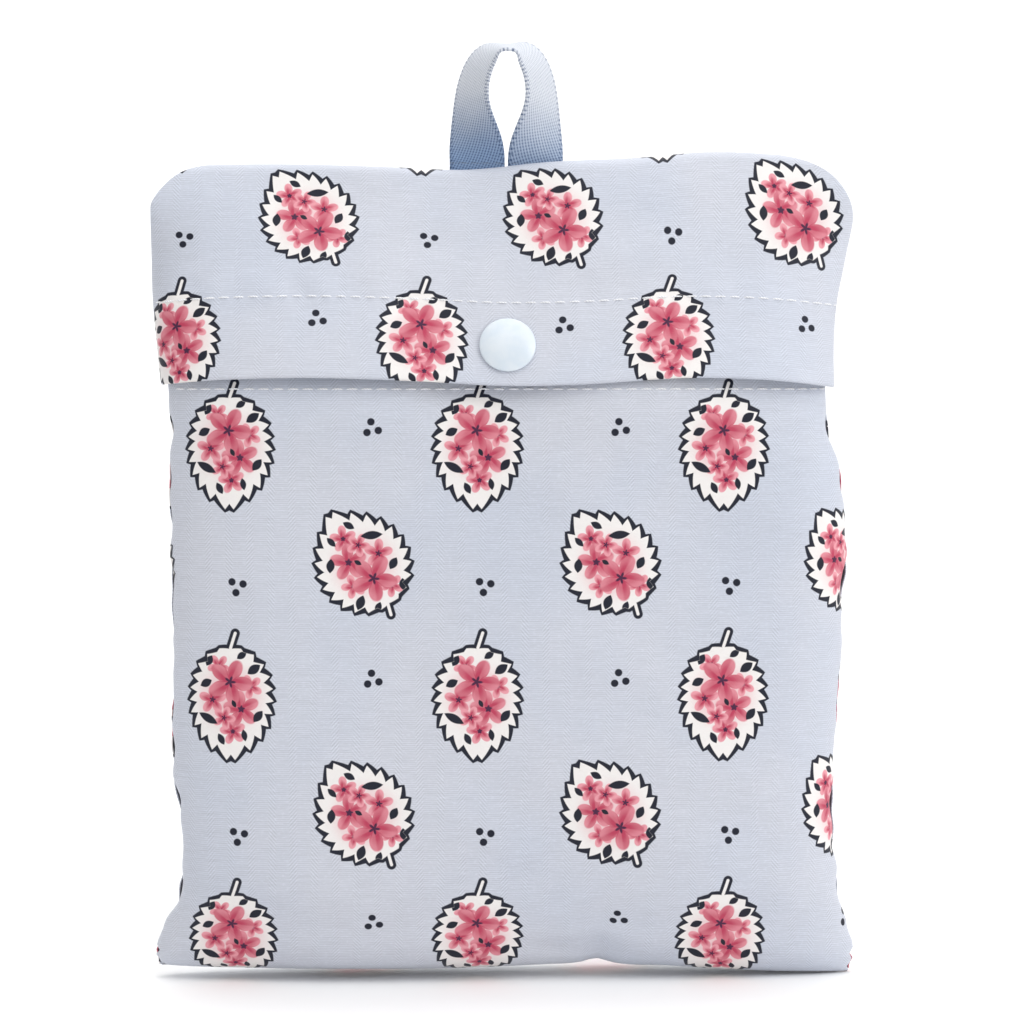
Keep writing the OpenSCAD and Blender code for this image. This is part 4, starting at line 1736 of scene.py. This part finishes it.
@dataclass
class SideSeams:
    """The overlocked seam allowances inside the pouch, and the blank label that is sewn into one."""

    shape: Shape
    inner: float = 80.4
    step: float = 3.0
    label_width: float = 25.0
    label_z: float = 130.5
    label_end: float = 74.4

    def strip(self, name: str, left: bool, node: str) -> None:
        """Builds one seam allowance and its overlocking.

        Args:
            name: name of the strip.
            left: the left seam, and not the right one.
            node: the CAD node that it replaces.
        """
        s = self.shape
        z = np.arange(6.0, s.mouth - 0.8, self.step)[:, None]
        edge_left, edge_right = s.outline.sides(z, s.top, flap=False)
        outer = -edge_left - 1.0 if left else edge_right - 1.0
        k = np.linspace(0.0, 1.0, 9)[None, :]
        way = -1.0 if left else 1.0
        free = self.inner + Ripple(30.0, 3 if left else 6, 0.5).at(z, 0 * z)
        x = way * lerp(free, outer, k)
        y = s.seam_at(z, left) + Ripple(22.0, 9, 0.35).at(x, z) * (1 - k) + 0.0 * x
        points = np.stack([x, y, z + 0.0 * x], axis=-1)
        uv = np.stack([x, z + 0.0 * x], axis=-1)
        patch = Patch(points, uv)
        strip = patch.build(name, WRONG_SIDE, 0.7)
        settle(strip, Body.POUCH, Slot.CLOTH, node)
        column = Patch(points.swapaxes(0, 1), uv.swapaxes(0, 1))
        overlock = Seam(pitch=1.9, length=2.8, thread=0.17, rings=6, sides=5, crosswise=True)
        reach = float(np.ptp(z)) / 2 - 1.0
        sewn = overlock.along_line(f"{name}_overlock", column, 1.2, reach, THREAD)
        settle(sewn, Body.POUCH, Slot.THREAD)

    def label(self) -> None:
        """Builds the label: a tape folded end to end, held by both ends in the left seam."""
        s = self.shape
        y = float(s.seam_at(np.array(self.label_z), True)) + 1.9
        bend = np.radians(np.linspace(-90.0, 90.0, 7))
        fold_x, fold_y = -self.label_end - 0.3 + 0.3 * np.cos(bend), y + 0.3 * np.sin(bend)
        start = np.linspace(-87.5, fold_x[0], 9)[:-1]
        sway = 0.5 * np.sin((start + 87.5) / 13.0 * math.pi)
        x = np.concatenate([start, fold_x, start[::-1]])
        depth = np.concatenate([y - 0.3 - sway, fold_y, y + 0.3 - sway[::-1]])
        centre = np.stack([x, depth, np.full_like(x, self.label_z)], axis=1)
        across = np.tile([0.0, 0.0, 1.0], (len(x), 1))
        made = band("blank_label", centre, across, self.label_width, 0.22, LABEL)
        settle(made, Body.POUCH, Slot.LABEL, "care_label")

    def build(self) -> None:
        """Builds both seams and the label."""
        self.strip("side_seam_left_strip", True, "side_seam_left")
        self.strip("side_seam_right_strip", False, "side_seam_right")
        self.label()


@dataclass
class Tote:
    """The tote, folded into four runs that turn over, under and over each other.

    Its top ends lie at the bottom of the back run and its base lies in the front run.
    """

    shape: Shape
    run_y: tuple[float, float, float, float] = (8.05, 2.55, -3.1, -9.3)
    half_width: float = 72.0
    top: float = 165.0
    front_top: float = 81.0
    low_turn: float = 12.5
    end: float = 14.0
    hem_top: float = 36.0
    lane_step: float = 1.1
    strap_lanes: tuple[float, float] = (2.1, 3.0)
    strap_bends: tuple[float, float] = (138.0, 146.0)
    strap_width: float = 25.0
    strap_x: float = 32.0
    strap_low: float = 18.0
    strap_thickness: float = 0.65
    gusset_reach: float = 31.0
    tack_box: float = 16.0
    cloth: float = 0.35
    thin_cloth: float = 0.22
    pleat_gap: float = 0.3
    pleat_step: float = 2.4
    soft: tuple[Ripple, ...] = (Ripple(60.0, 12, 0.34, 1.2), Ripple(26.0, 13, 0.12))
    droop: Ripple = Ripple(50.0, 14, 0.5)

    def turns(self) -> list[tuple[tuple[float, float], float]]:
        """Centre and middle radius of the three turns."""
        reach = [(a - b) / 2 for a, b in zip(self.run_y[:-1], self.run_y[1:])]
        middle = [(a + b) / 2 for a, b in zip(self.run_y[:-1], self.run_y[1:])]
        high = self.top - reach[0] - self.strap_lanes[1] - 0.35
        low_high = self.front_top - reach[2] - self.lane_step - 0.45
        return list(zip(zip(middle, (high, self.low_turn, low_high)), reach))

    def lane(self, off: float, first: float, last: float, runs: int = 4) -> Array:
        """The line of one layer through the folds.

        Args:
            off: distance of the layer from the middle one, positive on the outer side of the first turn.
            first: height where it starts in the back run.
            last: height where it ends.
            runs: number of runs that it goes through.

        Returns:
            Y and Z of its points.
        """
        turns = self.turns()
        parts = [np.array([[self.run_y[0] + off, first]])]
        for i, (middle, reach) in enumerate(turns[: runs - 1]):
            way = -1 if i % 2 else 1
            parts.append(arc(middle, reach + way * off, 0.0, way * 180.0, 13))
        side = 1 if runs % 2 else -1
        parts.append(np.array([[self.run_y[runs - 1] + side * off, last]]))
        return np.concatenate(parts)

    def shift(self, points: Array) -> Array:
        """Moves the whole stack the same soft way, so that no layer cuts into the next."""
        x, z = points[..., 0], points[..., 2]
        soft = sum(ripple.at(x, z) for ripple in self.soft)
        return points + np.stack([0 * soft, soft, self.droop.at(x, 0 * z)], axis=-1)

    def edge(self, run: Array, seed: int) -> Array:
        """How far a layer's edge stands in or out along its length."""
        return self.half_width + Ripple(42.0, seed, 0.45).at(run, 0 * run)

    def panel(self, name: str, off: float, first: float, last: float, outer: bool, *nodes: str) -> Patch:
        """Builds one printed layer.

        Args:
            name: name of the piece.
            off: its lane.
            first: height where it starts.
            last: height where it ends.
            outer: its printed side looks away from the middle of the first turn.
            nodes: CAD nodes that it replaces.

        Returns:
            Its grid.
        """
        line, run = resample(self.lane(off, first, last), 1.9)
        u = np.linspace(-1.0, 1.0, 61)[None, :] * (1.0 if outer else -1.0)
        wide = np.where(u > 0, self.edge(run, 41)[:, None], self.edge(run, 42)[:, None])
        x = u * wide
        points = np.stack(np.broadcast_arrays(x, line[:, :1], line[:, 1:2]), axis=-1)
        patch = Patch(self.shift(points), np.stack(np.broadcast_arrays(x, run[:, None]), axis=-1))
        made = patch.build(name, CLOTH, self.cloth, WRONG_SIDE)
        settle(made, Body.TOTE, Slot.CLOTH, *nodes)
        return patch

    def gusset(self, name: str, left: bool, node: str) -> None:
        """Builds a side gusset: a pleat between the two panels, folded towards the middle.

        Args:
            name: name of the piece.
            left: the left gusset, and not the right one.
            node: the CAD node that it replaces.
        """
        offs, last = (0.0, self.pleat_gap, -self.pleat_gap), self.base_top() + 1.0
        lanes = [resample(self.lane(off, self.end, last), self.pleat_step) for off in offs]
        (middle, run), (near, _), (far, _) = lanes
        k = np.linspace(0.0, 1.0, len(run))
        near, far = (
            np.stack([np.interp(k, np.linspace(0, 1, len(p)), c) for c in p.T], axis=1) for p in (near, far)
        )
        angle = np.linspace(-math.pi / 2, math.pi / 2, 5)
        inset = np.concatenate([np.linspace(0.4, self.gusset_reach, 9), np.full(3, self.gusset_reach + 0.2)])
        inset = np.concatenate([inset, np.linspace(self.gusset_reach, 0.4, 9)])
        layer = np.concatenate([np.zeros(9), (np.sin(angle[1:-1]) + 1) / 2, np.ones(9)])
        wide = self.edge(run, 42 if left else 41)[:, None] - inset[None, :]
        x = (-1.0 if left else 1.0) * wide
        y = lerp(near[:, :1], far[:, :1], layer[None, :])
        z = lerp(near[:, 1:2], far[:, 1:2], layer[None, :])
        points = np.stack(np.broadcast_arrays(x, y, z), axis=-1)
        flat = lengths_along(np.stack([inset, layer * 0.6], axis=1))
        uv = np.stack(np.broadcast_arrays(flat[None, :] * (-1.0 if left else 1.0), run[:, None]), axis=-1)
        if left:
            points, uv = points[:, ::-1], uv[:, ::-1]
        patch = Patch(self.shift(points), uv)
        made = patch.build(name, CLOTH, self.thin_cloth, WRONG_SIDE)
        settle(made, Body.TOTE, Slot.CLOTH, node)

    def base_top(self) -> float:
        """Height of the base in the front run."""
        return self.turns()[2][0][1] - 1.5

    def base(self) -> None:
        """Builds the base, which lies between the panels in the front run."""
        z = np.linspace(self.end, self.base_top(), 32)[:, None]
        x = np.linspace(-1.0, 1.0, 49)[None, :] * (self.half_width - 1.0)
        points = np.stack(np.broadcast_arrays(x, self.run_y[3] + 0 * z, z), axis=-1)[::-1]
        uv = np.stack(np.broadcast_arrays(x, z), axis=-1)[::-1]
        made = Patch(self.shift(points), uv).build("tote_base_cloth", CLOTH, self.cloth, WRONG_SIDE)
        settle(made, Body.TOTE, Slot.CLOTH, "tote_base_panel")

    def hem(self, name: str, off: float, outer: bool, node: str) -> None:
        """Builds a top hem: cloth turned round its lower edge, with a row of stitches.

        Args:
            name: name of the piece.
            off: its lane.
            outer: its printed side looks to the back.
            node: the CAD node that it replaces.
        """
        way = 1.0 if outer else -1.0
        y0 = self.run_y[0] + off
        turn = arc((y0, self.end + 0.3), 0.3, 0.0, -180.0, 7)
        line = np.concatenate([[[y0 + 0.3, self.hem_top + 4]], turn, [[y0 - 0.3, self.hem_top]]])
        line[:, 0] = y0 + way * (line[:, 0] - y0)
        line, run = resample(line, 1.3)
        x = np.linspace(1.0, -1.0, 61)[None, :] * (self.half_width - 0.4) * way
        points = np.stack(np.broadcast_arrays(x, line[:, :1], line[:, 1:2]), axis=-1)
        uv = np.stack(np.broadcast_arrays(x, -run[:, None]), axis=-1)
        patch = Patch(self.shift(points), uv)
        made = patch.build(name, CLOTH, 0.2, WRONG_SIDE)
        settle(made, Body.TOTE, Slot.CLOTH, node)
        row = float(np.interp(5.5, run, np.arange(len(run))))
        sewn = Seam().along_row(f"{name}_stitches", patch, row, [(-70.0, 70.0)], THREAD)
        settle(sewn, Body.TOTE, Slot.THREAD)

    def strap(self, name: str, place: int, node: str) -> None:
        """Builds a strap: up from the hem, over the top, and round in a half ring to its other end.

        Args:
            name: name of the strap.
            place: its lane; 0 is the inner one.
            node: the CAD node that it replaces.
        """
        off, bend = self.strap_lanes[place], self.strap_bends[place]
        leg, _ = resample(self.lane(off, self.strap_low, bend, runs=2), 3.0)
        left = np.stack([np.full(len(leg), -self.strap_x), leg[:, 0], leg[:, 1]], axis=1)
        right = left[::-1] * np.array([-1.0, 1.0, 1.0])
        angle = np.radians(np.linspace(180.0, 360.0, 34))[1:-1]
        ring_x, ring_z = self.strap_x * np.cos(angle), bend + self.strap_x * np.sin(angle)
        ring = np.stack([ring_x, np.full(len(angle), leg[-1, 0]), ring_z], axis=1)
        centre = np.concatenate([left, ring, right])
        inward = np.stack([-np.cos(angle), 0 * angle, -np.sin(angle)], axis=1)
        side = np.tile([1.0, 0.0, 0.0], (len(left), 1))
        across = np.concatenate([side, inward, -side])
        made = band(name, self.shift(centre), across, self.strap_width, self.strap_thickness, STRAP)
        settle(made, Body.TOTE, Slot.WEBBING, node)

    def tacks(self) -> None:
        """Sews each strap end down with a square of stitches and its two diagonals."""
        half = self.tack_box / 2
        corners = np.array([[-1, -1], [1, -1], [1, 1], [-1, 1], [-1, -1], [1, 1]]) * half
        paths = [(corners[k], corners[k + 1]) for k in range(5)] + [(corners[1], corners[3])]
        seam = Seam(pitch=2.6, length=2.2, thread=0.2, rings=6)
        share = (np.arange(6) + 0.5) / 6
        spots = np.concatenate([a + (b - a) * share[:, None] for a, b in paths])
        ways = np.concatenate([np.repeat((b - a)[None] / np.linalg.norm(b - a), 6, 0) for a, b in paths])
        y = self.run_y[0] + self.strap_lanes[1] + self.strap_thickness / 2 + 0.02
        low = self.strap_low + 2.0 + half
        places = [
            np.stack([side * self.strap_x + spots[:, 0], np.full(len(spots), y), low + spots[:, 1]], axis=1)
            for side in (-1.0, 1.0)
        ]
        along = np.stack([ways[:, 0], 0 * ways[:, 0], ways[:, 1]], axis=1)
        out = np.tile([0.0, 1.0, 0.0], (2 * len(spots), 1))
        where = self.shift(np.concatenate(places))
        made = seam.sew("tote_strap_stitches", where, np.concatenate([along, along]), out, THREAD)
        settle(made, Body.TOTE, Slot.THREAD, "tote_strap_tacks")

    def build(self) -> None:
        """Builds the folded tote."""
        self.panel("tote_front_cloth", -self.lane_step, self.hem_top, self.end, False, "tote_front_panel")
        self.panel("tote_back_cloth", self.lane_step, self.hem_top, self.end, True, "tote_back_panel")
        self.gusset("tote_gusset_left_cloth", True, "tote_gusset_left")
        self.gusset("tote_gusset_right_cloth", False, "tote_gusset_right")
        self.base()
        self.hem("tote_top_hem_front_cloth", -self.lane_step - 0.1, False, "tote_top_hem_front")
        self.hem("tote_top_hem_back_cloth", self.lane_step, True, "tote_top_hem_back")
        self.strap("tote_strap_front_webbing", 0, "tote_strap_front")
        self.strap("tote_strap_back_webbing", 1, "tote_strap_back")
        self.tacks()


@dataclass(frozen=True)
class Lamp:
    """A square soft light: its place, its side, its power and the point it faces, in millimetres."""

    name: str
    place: Point
    size: float
    watts: float
    target: Point

    def build(self) -> None:
        """Hangs the light and turns it to its target."""
        data = bpy.data.lights.new(self.name, "AREA")
        data.shape = "SQUARE"
        data.size = self.size * MM
        data.energy = self.watts
        lamp = bpy.data.objects.new(self.name, data)
        lamp.location = Vector(self.place) * MM
        facing = Vector(self.target) * MM - lamp.location
        lamp.rotation_euler = facing.to_track_quat("-Z", "Y").to_euler()
        bpy.context.scene.collection.objects.link(lamp)


@dataclass
class Studio:
    """A white floor that runs up into a white backdrop, soft lights and the camera."""

    aim: Point = (1.6, 0.0, 125.8)
    distance: float = 768.0
    azimuth: float = -2.0
    elevation: float = 3.0
    lens: float = 100.0
    floor_reach: float = 3000.0
    floor_turn: float = 500.0
    floor_rise: float = 800.0
    air: float = 0.62
    lamps: tuple[Lamp, ...] = (
        Lamp("key_softbox", (1100.0, -700.0, 800.0), 700.0, 6.8, (1.6, 0.0, 125.8)),
        Lamp("top_softbox", (100.0, -250.0, 1300.0), 1200.0, 6.6, (1.6, 0.0, 125.8)),
        Lamp("backdrop_wash", (0.0, 450.0, 1500.0), 900.0, 9.0, (0.0, 1300.0, 300.0)),
    )

    def build(self) -> None:
        """Builds the stage, the lights and the camera."""
        self.floor()
        for lamp in self.lamps:
            lamp.build()
        world = bpy.data.worlds.new("studio_air")
        world.use_nodes = True
        world.node_tree.nodes["Background"].inputs["Color"].default_value = (1.0, 1.0, 1.0, 1.0)
        world.node_tree.nodes["Background"].inputs["Strength"].default_value = self.air
        bpy.context.scene.world = world
        bpy.context.scene.view_settings.view_transform = "Standard"
        self.camera()

    def floor(self) -> None:
        """Makes the floor: a wide sheet that is flat in front and rises behind on a quarter circle."""
        reach, turn, high = self.floor_reach, self.floor_turn, self.floor_rise
        flat = np.stack([np.linspace(-reach, turn, 12), np.zeros(12)], axis=1)
        rise = arc((turn, high), high, -90.0, 0.0, 24)
        line = np.concatenate([flat, rise[1:], [[turn + high, reach]]])
        x = np.linspace(-reach, reach, 9)
        points = np.stack(np.broadcast_arrays(x[None], line[:, :1], line[:, 1:2]), axis=-1)
        made = make_object("studio_floor", points, quads_of_grid(*points.shape[:2])[:, ::-1])
        g = Graph("studio_white")
        grain = g.noise(g.object_place(), 0.02, 2.0)
        tone = g.mix(grain, (0.93, 0.93, 0.93, 1.0), (0.95, 0.95, 0.95, 1.0))
        made.data.materials.append(g.surface({"Base Color": tone, "Roughness": 0.9}))

    def camera(self) -> None:
        """Places the camera at its distance, azimuth and elevation from the point it is aimed at."""
        data = bpy.data.cameras.new("front_view")
        data.lens = self.lens
        eye = bpy.data.objects.new("front_view", data)
        turn, rise = math.radians(self.azimuth), math.radians(self.elevation)
        off = Vector((math.sin(turn) * math.cos(rise), -math.cos(turn) * math.cos(rise), math.sin(rise)))
        eye.location = (Vector(self.aim) + off * self.distance) * MM
        eye.rotation_euler = (-off).to_track_quat("-Z", "Y").to_euler()
        bpy.context.scene.collection.objects.link(eye)
        bpy.context.scene.camera = eye


def main() -> None:
    """Builds the bag around its frame."""
    logging.basicConfig(level=logging.INFO, format="%(message)s")
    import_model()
    Studio().build()
    shape = Shape()
    for part in (Pouch, Flap, Snap, HangLoop, SideSeams, Tote):
        part(shape).build()


if __name__ == "__main__":
    main()
